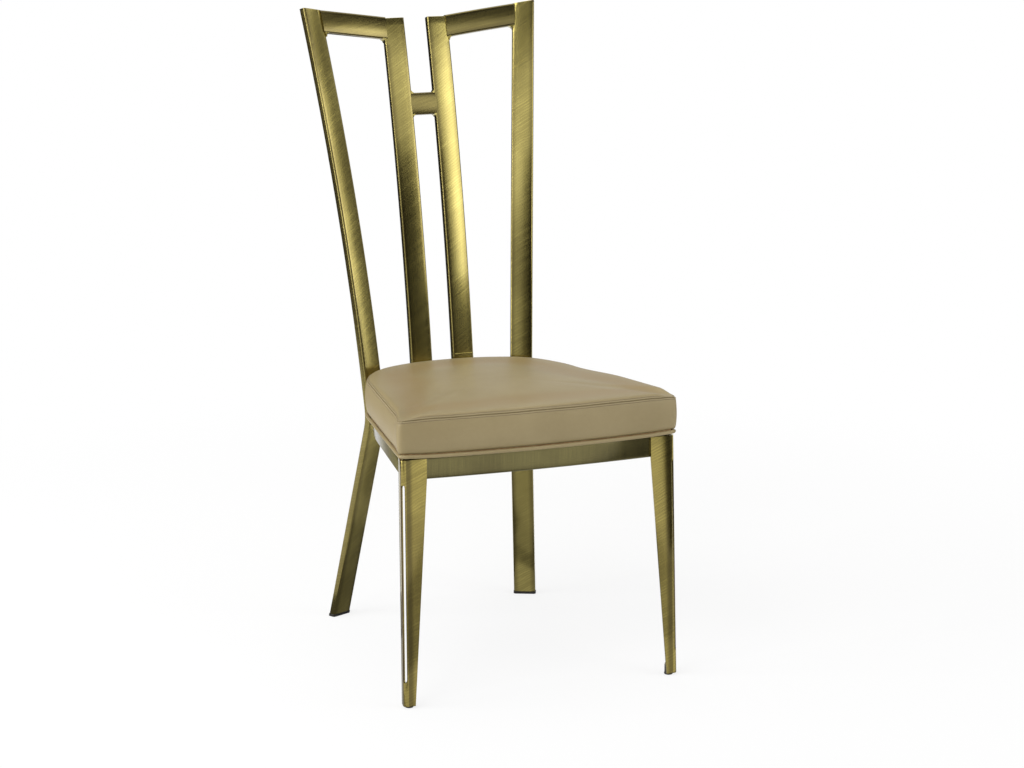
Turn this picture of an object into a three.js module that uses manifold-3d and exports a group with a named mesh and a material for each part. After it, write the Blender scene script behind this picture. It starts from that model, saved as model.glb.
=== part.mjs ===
// Klismos dining chair: welded flat steel tube, folded front legs and a boxed leather seat pad.
// Millimetres, +Z up. The chair faces -Y, and its origin is on the floor under the middle of its box.

import * as THREE from 'three';
import { mergeVertices } from 'three/addons/utils/BufferGeometryUtils.js';
import Module from 'manifold-3d';

const wasm = await Module();
wasm.setup();

// Flat tube that the posts, top rails and bridge are made of
const tubeWidth = 38.1;
const tubeThickness = 14;
const tubeWall = 1.5;
const tubeCornerRadius = 3.2;
const topPlateThickness = 2;

// Gaps and overruns
const weldGap = 0.3;
const sewnGap = 0.4;
const cutOverrun = 12;
const shortestEdge = 0.05;
const trimReach = 260;

// Rear leg and outer post, one tube bent at the knee. Places are those of its centre line.
const rearFoot = { x: 172.6, y: 506.7 };
const knee = { x: 131.2, y: 421.1, z: 362.7 };
const kneeBendReach = 20;
const outerPostPull = { x: 150.7, y: 466.9, z: 698.1 };
const outerPostTop = { x: 190.5, y: 562, z: 1033.5 };
const outerPostTurn = THREE.MathUtils.degToRad(25);

// Inner posts stand on the rear apron
const innerPostFoot = { x: 37.1, y: 448.2, z: 388.8 };
const innerPostPull = { x: 38.2, y: 489.8, z: 711.2 };
const innerPostTop = { x: 39.3, y: 588.9, z: 1033.5 };

// Where the top rails and the bridge meet the posts' centre lines
const railOuterDrop = 16.5;
const railInnerDrop = 38;
const bridgeDrop = 161.4;

// Seat frame. Its top plane passes through seatHeight above y = 0 and falls to the back.
const seatHeight = 397.3;
const seatTilt = THREE.MathUtils.degToRad(1.72);
const apronHeight = 32;
const frontApronHeight = 34.8;
const apronThickness = 14;
const rearApronThickness = 20;
const frontApronBow = 8;
const sideTaper = THREE.MathUtils.degToRad(10.5);
const sideBendBack = 311;
const sideBendReach = 30;

// Front leg: a steel plate folded to an angle, tapering down, with a long slot on its fold
const legPlate = 3;
const legFoldInside = 3;
const legTopSetback = 1.6;
const legBottom = 4;
const legTaperStart = 361;
const legCornerTop = { x: 231.1, y: 8.9 };
const legCornerBottom = { x: 234.7, y: -6.5 };
const legFrontTop = 42.5;
const legFrontBottom = 19.9;
const legSideTop = 23.8;
const legSideBottom = 19.7;
const slotFrontReach = 7;
const slotSideReach = 5.5;
const slotEndRise = 4.2;
const slotBottom = 42.3;
const slotTop = 356.2;

// Front glide and the small plate that carries it
const footPlateHeight = 17;
const footPlateThickness = 3;
const glideRadius = 6.5;
const glideBaseRadius = 7.1;
const glideBaseHeight = 2.6;
const glideEdge = 0.9;
const glideStudRadius = 2.8;
const glideStudRise = 8;
const glideSetback = 10.3;
const glideInset = 12.4;

// Plastic cap in the open end of the rear leg
const capHeight = 5;
const capLip = 0.5;
const capPlugRise = 18;

// Seat pad. Its base outline is the line where the boxing meets the welt.
const padFrontInset = 0.5;
const padFrontOverhang = 1.2;
const padFrontBow = 14;
const padCornerReach = 5;
const padCornerReachLeast = 3;
const padSideTaper = THREE.MathUtils.degToRad(9.6);
const padSideEnd = 316;
const padSidePull = 82;
const padRearClearance = 3.9;
const padRearPull = 92;

const weltRadius = 3;
const weltOutset = 1;
const weltRise = 3.7;

const coverThickness = 1.2;
const coverReturn = 15;
const seamHeight = 62.4;
const boxingBulge = 6.6;
const bulgeCornerShare = 0.7;
const bulgeCornerFade = 90;
const crownRise = 14;

const boardThickness = 12;
const dustCoverThickness = 1;

// Corner gussets, and the screws through them into tee nuts in the seat board
const gussetThickness = 3;
const frontGussetReach = 62;
const rearGussetReach = 88;
const gussetTipShare = 0.25;
const gussetCornerClip = 30;
const screwShare = 0.5;
const screwRadius = 3;
const screwLength = 17;
const screwHeadRadius = 5.6;
const screwHeadHeight = 3.2;
const screwHeadShares = { top: 0.72, edge: 0.67 };
const screwHoleClearance = 0.5;
const socketRadius = 2;
const socketDepth = 1.8;
const teeFlangeRadius = 9;
const teeFlangeThickness = 1.4;
const teeBarrelRadius = 4.2;
const teeBarrelLength = 8.5;

// How finely round forms are faceted
const cornerSteps = 3;
const roundSteps = 20;
const weltSteps = 8;
const foldSteps = 6;
const kneeSteps = 5;
const postSteps = 9;
const railSteps = 8;
const sideBendSteps = 4;
const frontBowSteps = 8;
const rearArcSteps = 12;
const padCornerSteps = 4;
const padRearSteps = 8;
const heightSearchSteps = 40;

// What follows from the sizes above
const legFoldRadius = legFoldInside + legPlate;
const padFrontHalf = legCornerTop.x - padFrontInset;
const padFrontBack = legCornerTop.y - padFrontOverhang;
const padRearBack = innerPostFoot.y - tubeThickness / 2 - padRearClearance;

const finishes = {
  bronze: { color: 0x8f8144, roughness: 0.32, metalness: 1 },
  zinc: { color: 0xb9bcc0, roughness: 0.4, metalness: 1 },
  blackPlastic: { color: 0x17140f, roughness: 0.55, metalness: 0 },
  leather: { color: 0xa3966f, roughness: 0.5, metalness: 0 },
  foam: { color: 0xe8e2cc, roughness: 0.9, metalness: 0 },
  plywood: { color: 0xc9a877, roughness: 0.7, metalness: 0 },
  cambric: { color: 0x1d1c1b, roughness: 0.95, metalness: 0 },
};

const chair = new THREE.Group();
const seatGroup = new THREE.Group();
seatGroup.position.z = seatHeight;
seatGroup.rotation.x = -seatTilt;
chair.add(seatGroup);

function addPiece(parent, name, geometry, finish) {
  const piece = new THREE.Mesh(geometry, new THREE.MeshStandardMaterial(finishes[finish]));
  piece.name = name;
  parent.add(piece);
}

// Solids

function toSolid(geometry) {
  const bare = geometry.clone();
  bare.deleteAttribute('normal');
  bare.deleteAttribute('uv');
  const merged = mergeVertices(bare);
  return new wasm.Manifold(new wasm.Mesh({
    numProp: 3,
    vertProperties: new Float32Array(merged.attributes.position.array),
    triVerts: new Uint32Array(merged.index.array),
  }));
}

// A solid's faces, without the slivers that cuts leave
function toGeometry(solid) {
  const mesh = solid.asOriginal().simplify(shortestEdge).getMesh();
  const geometry = new THREE.BufferGeometry();
  geometry.setAttribute('position', new THREE.BufferAttribute(new Float32Array(mesh.vertProperties), 3));
  geometry.setIndex(new THREE.BufferAttribute(new Uint32Array(mesh.triVerts), 1));
  geometry.computeVertexNormals();
  return geometry;
}

function cutAway(solid, ...tools) {
  return tools.reduce((left, tool) => left.subtract(tool), solid);
}

function signedVolume(points, faces) {
  let total = 0;
  for (let i = 0; i < faces.length; i += 3) {
    total += points[faces[i]].dot(points[faces[i + 1]].clone().cross(points[faces[i + 2]]));
  }
  return total;
}

// A closed skin through rings of equal count, faces turned outwards
function skinRings(rings, capOutline) {
  const count = rings[0].length;
  const points = rings.flat();
  const faces = [];
  for (let ring = 0; ring + 1 < rings.length; ring += 1) {
    for (let i = 0; i < count; i += 1) {
      const next = (i + 1) % count;
      const low = ring * count;
      const high = low + count;
      faces.push(low + i, low + next, high + next, low + i, high + next, high + i);
    }
  }
  const lastRing = (rings.length - 1) * count;
  const clockwise = THREE.ShapeUtils.isClockWise(capOutline);
  for (const face of THREE.ShapeUtils.triangulateShape(capOutline, [])) {
    const alike = THREE.ShapeUtils.isClockWise(face.map((i) => capOutline[i])) === clockwise;
    const [a, b, c] = alike ? face : [...face].reverse();
    faces.push(c, b, a, lastRing + a, lastRing + b, lastRing + c);
  }
  return closedGeometry(points, faces);
}

function closedGeometry(points, faces) {
  if (signedVolume(points, faces) < 0) {
    faces.reverse();
  }
  const geometry = new THREE.BufferGeometry().setFromPoints(points);
  geometry.setIndex(faces);
  geometry.computeVertexNormals();
  return geometry;
}

// A box whose one face lies on the plane, on the side that the normal points to
function halfSpace(point, normal) {
  const box = new THREE.BoxGeometry(2 * trimReach, 2 * trimReach, trimReach);
  const turn = new THREE.Quaternion().setFromUnitVectors(new THREE.Vector3(0, 0, 1), normal);
  const centre = point.clone().addScaledVector(normal, trimReach / 2);
  box.applyMatrix4(new THREE.Matrix4().compose(centre, turn, new THREE.Vector3(1, 1, 1)));
  return toSolid(box);
}

// Sections and stations

function tubeOutline(width, thickness, radius) {
  const outline = [];
  const centres = [[1, 1], [-1, 1], [-1, -1], [1, -1]];
  centres.forEach(([signX, signY], corner) => {
    for (let step = 0; step <= cornerSteps; step += 1) {
      const angle = (corner + step / cornerSteps) * Math.PI / 2;
      outline.push(new THREE.Vector2(
        signX * (width / 2 - radius) + radius * Math.cos(angle),
        signY * (thickness / 2 - radius) + radius * Math.sin(angle),
      ));
    }
  });
  return outline;
}

// A bar of one section through stations, each with a centre and the section's two axes
function bar(stations, outline) {
  const rings = stations.map(({ centre, across, through }) => outline.map((p) => (
    centre.clone().addScaledVector(across, p.x).addScaledVector(through, p.y))));
  return toSolid(skinRings(rings, outline));
}

// A tube's outer form, its bore, which runs out past both ends, and its outer form grown by the gap
function tubeParts(stations, width = tubeWidth, thickness = tubeThickness) {
  const shifted = ({ centre, ...axes }, reach) => (
    { ...axes, centre: centre.clone().addScaledVector(axes.tangent, reach) });
  const longer = [
    shifted(stations[0], -cutOverrun), ...stations, shifted(stations[stations.length - 1], cutOverrun)];
  const grownBy = (reach, along = stations) => bar(along,
    tubeOutline(width + 2 * reach, thickness + 2 * reach, tubeCornerRadius + reach));
  return { body: grownBy(0), bore: grownBy(-tubeWall, longer), grown: grownBy(weldGap) };
}

function stationAt(centre, tangent, acrossHint) {
  const across = acrossHint.clone().addScaledVector(tangent, -acrossHint.dot(tangent)).normalize();
  return { centre, across, through: across.clone().cross(tangent), tangent };
}

function stationsAlong(curves, stepCounts, acrossHint) {
  const stations = [];
  curves.forEach((curve, index) => {
    const first = index === 0 ? 0 : 1;
    for (let step = first; step <= stepCounts[index]; step += 1) {
      const at = step / stepCounts[index];
      stations.push(stationAt(curve.getPoint(at), curve.getTangent(at), acrossHint));
    }
  });
  return stations;
}

function curvePointAtHeight(curve, height) {
  let low = 0;
  let high = 1;
  for (let i = 0; i < heightSearchSteps; i += 1) {
    const middle = (low + high) / 2;
    if (curve.getPoint(middle).z < height) {
      low = middle;
    } else {
      high = middle;
    }
  }
  return { point: curve.getPoint(low), tangent: curve.getTangent(low) };
}

const vector = ({ x, y, z = 0 }, side = 1) => new THREE.Vector3(side * x, y, z);
const seatTopAt = (back) => seatHeight - Math.tan(seatTilt) * back;

// Rear leg and outer post

function outerPostPath(side) {
  const foot = vector(rearFoot, side);
  const corner = vector(knee, side);
  const pull = vector(outerPostPull, side);
  const top = vector(outerPostTop, side);
  const bendStart = corner.clone().addScaledVector(foot.clone().sub(corner).normalize(), kneeBendReach);
  const bendEnd = corner.clone().addScaledVector(pull.clone().sub(corner).normalize(), kneeBendReach);
  const post = new THREE.QuadraticBezierCurve3(bendEnd, pull, top);
  const below = foot.clone().addScaledVector(foot.clone().sub(corner).normalize(), cutOverrun);
  const above = top.clone().addScaledVector(post.getTangent(1), 2 * cutOverrun);
  return {
    post,
    curves: [
      new THREE.LineCurve3(below, bendStart),
      new THREE.QuadraticBezierCurve3(bendStart, corner, bendEnd),
      post,
      new THREE.LineCurve3(top, above),
    ],
    steps: [1, kneeSteps, postSteps, 1],
    across: new THREE.Vector3(side * Math.cos(outerPostTurn), -Math.sin(outerPostTurn), 0),
  };
}

function innerPostPath(side) {
  const foot = vector(innerPostFoot, side);
  const post = new THREE.QuadraticBezierCurve3(foot, vector(innerPostPull, side), vector(innerPostTop, side));
  const below = foot.clone().addScaledVector(post.getTangent(0), -cutOverrun);
  return {
    post,
    curves: [new THREE.LineCurve3(below, foot), post],
    steps: [1, postSteps],
    across: new THREE.Vector3(side, 0, 0),
  };
}

// Top rail: stations from the inner post to the outer post, its height axis following the posts' lean
function topRailStations(outerSeat, innerSeat) {
  const start = innerSeat.point;
  const end = outerSeat.point;
  const pull = start.clone().lerp(end, 0.5);
  pull.y = start.y;
  const path = new THREE.QuadraticBezierCurve3(start, pull, end);
  const stations = [];
  for (let step = 0; step <= railSteps; step += 1) {
    const at = step / railSteps;
    const lean = innerSeat.tangent.clone().lerp(outerSeat.tangent, at);
    stations.push(stationAt(path.getPoint(at), path.getTangent(at), lean));
  }
  return stations;
}

// Everything past the nearer edge of a post's flat face, seen from the rail that meets the post there
function pastPost({ point, tangent }, awayFromRail) {
  const { across } = stationAt(point, tangent, awayFromRail);
  return halfSpace(point.clone().addScaledVector(across, tubeCornerRadius - tubeWidth / 2), across);
}

// The plate that closes the top of a post: what is above it, and what is above its underside
function lidAt(railCentre, along) {
  const cutFrom = (reach) => halfSpace(railCentre.clone().addScaledVector(along, reach), along);
  return { above: cutFrom(tubeWidth / 2), plate: cutFrom(tubeWidth / 2 - topPlateThickness) };
}

function makeBackSide(side, label) {
  const outer = outerPostPath(side);
  const inner = innerPostPath(side);
  const outerSeat = curvePointAtHeight(outer.post, outerPostTop.z - railOuterDrop);
  const innerSeat = curvePointAtHeight(inner.post, innerPostTop.z - railInnerDrop);
  const outerTube = tubeParts(stationsAlong(outer.curves, outer.steps, outer.across));
  const innerTube = tubeParts(stationsAlong(inner.curves, inner.steps, inner.across));
  const railStations = topRailStations(outerSeat, innerSeat);
  const railTube = tubeParts(railStations);

  // The outer post is cut along the top rail's upper face, the inner post square to itself
  const outerEnd = railStations[railStations.length - 1];
  const outerLid = lidAt(outerEnd.centre, outerEnd.across);
  const innerLid = lidAt(innerSeat.point, innerSeat.tangent);
  const belowFoot = halfSpace(vector({ ...rearFoot, z: capHeight }, side), new THREE.Vector3(0, 0, -1));
  const seatDown = new THREE.Vector3(0, -Math.sin(seatTilt), -Math.cos(seatTilt));
  const apronTop = vector({ ...innerPostFoot, z: seatTopAt(innerPostFoot.y) + weldGap }, side);
  const intoApron = halfSpace(apronTop, seatDown);

  const outerBore = outerTube.bore.subtract(outerLid.plate);
  const innerBore = innerTube.bore.subtract(innerLid.plate);
  const outerPost = cutAway(outerTube.body, outerLid.above, belowFoot, outerBore);
  const innerPost = cutAway(innerTube.body, innerLid.above, intoApron, innerBore);
  const topRail = cutAway(railTube.body, railTube.bore, outerTube.grown, innerTube.grown,
    pastPost(outerSeat, outer.across), pastPost(innerSeat, inner.across.clone().negate()));
  addPiece(chair, `rear_leg_post_${label}`, toGeometry(outerPost), 'bronze');
  addPiece(chair, `inner_post_${label}`, toGeometry(innerPost), 'bronze');
  addPiece(chair, `top_rail_${label}`, toGeometry(topRail), 'bronze');
  return { outerTube, innerTube, inner, belowFoot };
}

function makeBridge(right, left) {
  const seat = curvePointAtHeight(right.inner.post, innerPostTop.z - bridgeDrop);
  const span = seat.point.x;
  const along = new THREE.Vector3(1, 0, 0);
  const stations = [-span, span].map((x) => stationAt(seat.point.clone().setX(x), along, seat.tangent));
  const tube = tubeParts(stations);
  const bridge = cutAway(tube.body, tube.bore, right.innerTube.grown, left.innerTube.grown);
  addPiece(chair, 'bridge_bar', toGeometry(bridge), 'bronze');
}

// Cap in the foot of the rear leg: a lip as wide as the tube, and a plug that fills its bore
function makeRearCap(side, label) {
  const foot = vector(rearFoot, side);
  const upLeg = vector(knee, side).sub(foot).normalize();
  const { across } = outerPostPath(side);
  const stationsTo = (low, high) => [low, high].map((reach) => (
    stationAt(foot.clone().addScaledVector(upLeg, reach), upLeg, across)));
  const grownBy = (reach) => (
    tubeOutline(tubeWidth + 2 * reach, tubeThickness + 2 * reach, tubeCornerRadius + reach));
  const up = new THREE.Vector3(0, 0, 1);
  const aboveLip = halfSpace(foot.clone().setZ(capHeight - weldGap), up);
  const lip = cutAway(bar(stationsTo(-cutOverrun, cutOverrun), grownBy(capLip)), aboveLip);
  const plug = bar(stationsTo(-cutOverrun, capPlugRise + capHeight), grownBy(-tubeWall - weldGap));
  const cap = cutAway(lip.add(plug), halfSpace(foot, up.clone().negate()));
  addPiece(chair, `rear_foot_cap_${label}`, toGeometry(cap), 'blackPlastic');
}

// Front leg

function legSection(height, side) {
  const rise = (height - legBottom) / (seatHeight - legBottom);
  const taper = Math.min((height - legBottom) / (legTaperStart - legBottom), 1);
  const corner = new THREE.Vector2(
    THREE.MathUtils.lerp(legCornerBottom.x, legCornerTop.x, rise),
    THREE.MathUtils.lerp(legCornerBottom.y, legCornerTop.y, rise));
  return {
    height,
    side,
    corner,
    front: THREE.MathUtils.lerp(legFrontBottom, legFrontTop, taper),
    depth: THREE.MathUtils.lerp(legSideBottom, legSideTop, taper),
  };
}

const legBackward = new THREE.Vector2(-Math.sin(sideTaper), Math.cos(sideTaper));
const legOutward = new THREE.Vector2(Math.cos(sideTaper), Math.sin(sideTaper));

// Points round the fold, from the front flange to the side flange, at a radius about its centre
function foldArc(corner, radius) {
  const tangentReach = legFoldRadius / Math.tan((Math.PI / 2 - sideTaper) / 2);
  const centre = corner.clone().add(new THREE.Vector2(-tangentReach, legFoldRadius));
  return Array.from({ length: foldSteps + 1 }, (_, step) => {
    const angle = -Math.PI / 2 + (Math.PI / 2 + sideTaper) * step / foldSteps;
    return centre.clone().add(new THREE.Vector2(Math.cos(angle), Math.sin(angle)).multiplyScalar(radius));
  });
}

function legOutline({ corner, front, depth }) {
  const rearEdge = corner.clone().addScaledVector(legBackward, depth);
  return [
    new THREE.Vector2(corner.x - front, corner.y),
    ...foldArc(corner, legFoldRadius),
    rearEdge,
    rearEdge.clone().addScaledVector(legOutward, -legPlate),
    ...foldArc(corner, legFoldInside).reverse(),
    new THREE.Vector2(corner.x - front, corner.y + legPlate),
  ];
}

// The slot's section reaches from the fold along both flanges, so that its walls stand square to them
function slotOutline({ corner }, share) {
  const inwards = legFoldRadius + weldGap;
  const frontReach = slotFrontReach * share;
  const sideEdge = corner.clone().addScaledVector(legBackward, slotSideReach * share);
  return [
    corner.clone().add(new THREE.Vector2(-frontReach, -cutOverrun)),
    corner.clone().add(new THREE.Vector2(-frontReach, legPlate + weldGap)),
    corner.clone().add(new THREE.Vector2(-frontReach - inwards, inwards)),
    sideEdge.clone().addScaledVector(legOutward, -legPlate - weldGap),
    sideEdge.clone().addScaledVector(legOutward, cutOverrun),
    corner.clone().add(new THREE.Vector2(cutOverrun, -cutOverrun)),
  ];
}

function ringAt(outline, { height, side }) {
  return outline.map((p) => new THREE.Vector3(side * p.x, p.y, height));
}

const slotEndShares = [0.3, 0.6, 1];

function makeFrontLeg(side, label) {
  const legTop = seatTopAt(legCornerTop.y) - legTopSetback;
  const heights = [legBottom, legTaperStart, legTop];
  const sections = heights.map((height) => legSection(height, side));
  const outlines = sections.map(legOutline);
  const plate = toSolid(skinRings(outlines.map((o, i) => ringAt(o, sections[i])), outlines[0]));

  const slotRings = [];
  const addSlotRing = (height, share) => {
    const section = legSection(height, side);
    const widthShare = Math.sqrt(1 - (1 - share) ** 2);
    slotRings.push(ringAt(slotOutline(section, widthShare), section));
  };
  const [firstShare] = slotEndShares;
  const roundAt = (share) => slotEndRise * (share - firstShare) / (1 - firstShare);
  slotEndShares.forEach((share) => addSlotRing(slotBottom + roundAt(share), share));
  [...slotEndShares].reverse().forEach((share) => addSlotRing(slotTop - roundAt(share), share));
  const slot = toSolid(skinRings(slotRings, slotOutline(sections[0], 1)));
  addPiece(chair, `front_leg_${label}`, toGeometry(cutAway(plate, slot)), 'bronze');
}

// Small plate inside the foot of the front leg, and the glide screwed into it
function makeFrontFoot(side, label) {
  const { corner } = legSection(footPlateHeight, side);
  const inside = legPlate + weldGap;
  const farBack = glideSetback + glideRadius;
  const farIn = glideInset + glideRadius;
  const sideEnd = corner.clone().addScaledVector(legBackward, farBack / Math.cos(sideTaper));
  const shape = new THREE.Shape([
    ...foldArc(corner, legFoldInside - weldGap),
    sideEnd.addScaledVector(legOutward, -inside),
    corner.clone().add(new THREE.Vector2(-glideInset, farBack)),
    corner.clone().add(new THREE.Vector2(-farIn, glideSetback)),
    corner.clone().add(new THREE.Vector2(-farIn, inside)),
  ].map((p) => new THREE.Vector2(side * p.x, p.y)));
  const plate = new THREE.ExtrudeGeometry(shape, { depth: footPlateThickness, bevelEnabled: false });
  plate.translate(0, 0, footPlateHeight);
  const glideAt = new THREE.Vector3(side * (corner.x - glideInset), corner.y + glideSetback, 0);
  const hole = new THREE.CylinderGeometry(
    glideStudRadius + weldGap, glideStudRadius + weldGap, 2 * footPlateHeight, roundSteps);
  hole.rotateX(Math.PI / 2);
  hole.translate(glideAt.x, glideAt.y, footPlateHeight);
  addPiece(chair, `foot_plate_${label}`, toGeometry(cutAway(toSolid(plate), toSolid(hole))), 'bronze');

  const shoulder = footPlateHeight - weldGap;
  const profile = [
    [0, 0], [glideBaseRadius - glideEdge, 0], [glideBaseRadius, glideEdge],
    [glideBaseRadius, glideBaseHeight], [glideRadius, legBottom], [glideRadius, shoulder],
    [glideStudRadius, shoulder], [glideStudRadius, shoulder + glideStudRise], [0, shoulder + glideStudRise],
  ].map(([x, y]) => new THREE.Vector2(x, y));
  const glide = new THREE.LatheGeometry(profile, roundSteps);
  glide.rotateX(Math.PI / 2);
  const glideSolid = cutAway(toSolid(glide.translate(glideAt.x, glideAt.y, 0)), footClearance(side));
  addPiece(chair, `front_glide_${label}`, toGeometry(glideSolid), 'blackPlastic');
}

// What the glide has to clear: the leg's two flanges, grown by the gap
function footClearance(side) {
  const sections = [legBottom - weldGap, footPlateHeight].map((height) => legSection(height, side));
  const outlines = sections.map((section) => {
    const reach = legPlate + weldGap;
    const { corner } = section;
    return [
      corner.clone().add(new THREE.Vector2(-trimReach, -reach)),
      corner.clone().add(new THREE.Vector2(reach, -reach)),
      corner.clone().addScaledVector(legBackward, trimReach).addScaledVector(legOutward, reach),
      corner.clone().addScaledVector(legBackward, trimReach).addScaledVector(legOutward, -reach),
      ...foldArc(corner, legFoldInside - weldGap).reverse(),
      corner.clone().add(new THREE.Vector2(-trimReach, reach)),
    ];
  });
  return toSolid(skinRings(outlines.map((o, i) => ringAt(o, sections[i])), outlines[0]));
}

// Seat frame, in the seat's own tilted frame: its top is z = 0

const apronMiddle = -apronHeight / 2;

function apronStations(points, tangents) {
  const up = new THREE.Vector3(0, 0, 1);
  return points.map((point, i) => stationAt(point, tangents[i].clone().normalize(), up));
}

function arcPoints(count, pointAt) {
  return Array.from({ length: count + 1 }, (_, step) => pointAt(step / count));
}

// Centre line of the side apron: along the leg's side flange, then in to the knee
function sideApronStations(side) {
  const inset = legPlate + weldGap + apronThickness / 2;
  const corner = new THREE.Vector2(legCornerTop.x, legCornerTop.y).addScaledVector(legOutward, -inset);
  const onSide = (back) => {
    const reach = (back - corner.y) / Math.cos(sideTaper);
    const p = corner.clone().addScaledVector(legBackward, reach);
    return new THREE.Vector3(side * p.x, p.y, apronMiddle);
  };
  const end = new THREE.Vector3(side * knee.x, knee.y, apronMiddle);
  const bend = onSide(sideBendBack);
  const start = onSide(legCornerTop.y + legFoldRadius + weldGap + Math.sin(sideTaper) * apronThickness / 2);
  const bendStart = onSide(sideBendBack - sideBendReach);
  const bendEnd = bend.clone().addScaledVector(end.clone().sub(bend).normalize(), sideBendReach);
  const curves = [
    new THREE.LineCurve3(start, bendStart),
    new THREE.QuadraticBezierCurve3(bendStart, bend, bendEnd),
    new THREE.LineCurve3(bendEnd, end),
  ];
  return stationsAlong(curves, [1, sideBendSteps, 1], new THREE.Vector3(0, 0, 1));
}

// Straight behind the legs' front flanges, bowed forward between them
function frontApronStations() {
  const half = legCornerTop.x;
  const bowHalf = legCornerTop.x - legFrontTop;
  const middleLine = legCornerTop.y + legPlate + weldGap + apronThickness / 2;
  const middleHeight = -frontApronHeight / 2;
  const bowed = arcPoints(frontBowSteps, (share) => {
    const x = THREE.MathUtils.lerp(-bowHalf, bowHalf, share);
    return new THREE.Vector3(x, middleLine - frontApronBow * (1 - (x / bowHalf) ** 2), middleHeight);
  });
  const ends = [-half, half].map((x) => new THREE.Vector3(x, middleLine, middleHeight));
  const points = [ends[0], ...bowed, ends[1]];
  const slope = (p) => (Math.abs(p.x) < bowHalf ? 2 * frontApronBow * p.x / bowHalf ** 2 : 0);
  return apronStations(points, points.map((p) => new THREE.Vector3(1, slope(p), 0)));
}

// The rear apron's back face is an arc through the backs of all four posts
function rearApronStations() {
  const outerFace = new THREE.Vector2(
    knee.x - Math.cos(outerPostTurn) * tubeWidth / 2 + Math.sin(outerPostTurn) * tubeThickness / 2,
    knee.y + Math.sin(outerPostTurn) * tubeWidth / 2 + Math.cos(outerPostTurn) * tubeThickness / 2);
  const innerFace = new THREE.Vector2(innerPostFoot.x, innerPostFoot.y + tubeThickness / 2);
  const centreBack = (outerFace.lengthSq() - innerFace.lengthSq()) / (2 * (outerFace.y - innerFace.y));
  const backRadius = Math.hypot(innerFace.x, innerFace.y - centreBack);
  const radius = backRadius - rearApronThickness / 2;
  const halfAngle = Math.asin(knee.x / backRadius);
  const angles = arcPoints(rearArcSteps, (share) => THREE.MathUtils.lerp(-halfAngle, halfAngle, share));
  const points = angles.map((a) => new THREE.Vector3(
    radius * Math.sin(a), centreBack + radius * Math.cos(a), apronMiddle));
  const tangents = angles.map((a) => new THREE.Vector3(Math.cos(a), -Math.sin(a), 0));
  return apronStations(points, tangents);
}

// Everything outside the side apron's inner face, at the front
function besideFront(side) {
  const inset = legPlate + apronThickness + 2 * weldGap;
  const corner = new THREE.Vector2(legCornerTop.x, legCornerTop.y).addScaledVector(legOutward, -inset);
  return halfSpace(new THREE.Vector3(side * corner.x, corner.y, 0),
    new THREE.Vector3(side * legOutward.x, legOutward.y, 0));
}

// A solid from the chair's frame, seen from the seat's tilted frame
function intoSeatFrame(solid) {
  const geometry = toGeometry(solid);
  seatGroup.updateMatrixWorld(true);
  geometry.applyMatrix4(seatGroup.matrixWorld.clone().invert());
  return toSolid(geometry);
}

function makeSeatFrame(right, left) {
  const posts = [right.outerTube.grown, left.outerTube.grown].map(intoSeatFrame);
  const front = tubeParts(frontApronStations(), frontApronHeight, apronThickness);
  const rear = tubeParts(rearApronStations(), apronHeight, rearApronThickness);
  const sides = { right: tubeParts(sideApronStations(1), apronHeight, apronThickness),
    left: tubeParts(sideApronStations(-1), apronHeight, apronThickness) };
  const frontApron = cutAway(front.body, front.bore, besideFront(1), besideFront(-1));
  addPiece(seatGroup, 'front_apron', toGeometry(frontApron), 'bronze');
  addPiece(seatGroup, 'rear_apron', toGeometry(cutAway(rear.body, rear.bore, ...posts)), 'bronze');
  const neighbours = [front.grown, rear.grown, sides.right.grown, sides.left.grown, ...posts];
  for (const [label, side] of [['left', -1], ['right', 1]]) {
    const apron = cutAway(sides[label].body, sides[label].bore, ...posts, rear.grown);
    addPiece(seatGroup, `side_apron_${label}`, toGeometry(apron), 'bronze');
    makeGussets(side, label, neighbours);
  }
}

// Gussets: plates across the frame's inside corners, clipped clear of the post, each with a screw hole

function gussetPlaces(side) {
  const sideLine = sideApronStations(side).map((s) => s.centre);
  const frontLine = frontApronStations();
  const rearLine = rearApronStations();
  const frontCorner = new THREE.Vector2(side * Math.abs(sideLine[0].x), frontLine[0].centre.y);
  const rearCorner = new THREE.Vector2(side * knee.x, knee.y);
  const backAlongSide = new THREE.Vector2(-side * Math.sin(sideTaper), Math.cos(sideTaper));
  const fromRearCorner = ({ x, y }) => new THREE.Vector2(x, y).sub(rearCorner).normalize();
  const forwardAlongSide = fromRearCorner(sideLine[sideLine.length - 2]);
  const alongRear = fromRearCorner(rearLine[rearArcSteps / 2 + side * rearArcSteps / 3].centre);
  const frontLegs = [new THREE.Vector2(-side, 0), backAlongSide];
  return {
    front: { reach: frontGussetReach, corner: frontCorner, legs: frontLegs },
    rear: { reach: rearGussetReach, corner: rearCorner, legs: [alongRear, forwardAlongSide] },
  };
}

function screwPlace({ reach, corner, legs }) {
  return corner.clone()
    .addScaledVector(legs[0], reach * screwShare)
    .addScaledVector(legs[1], reach * screwShare);
}

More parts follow.
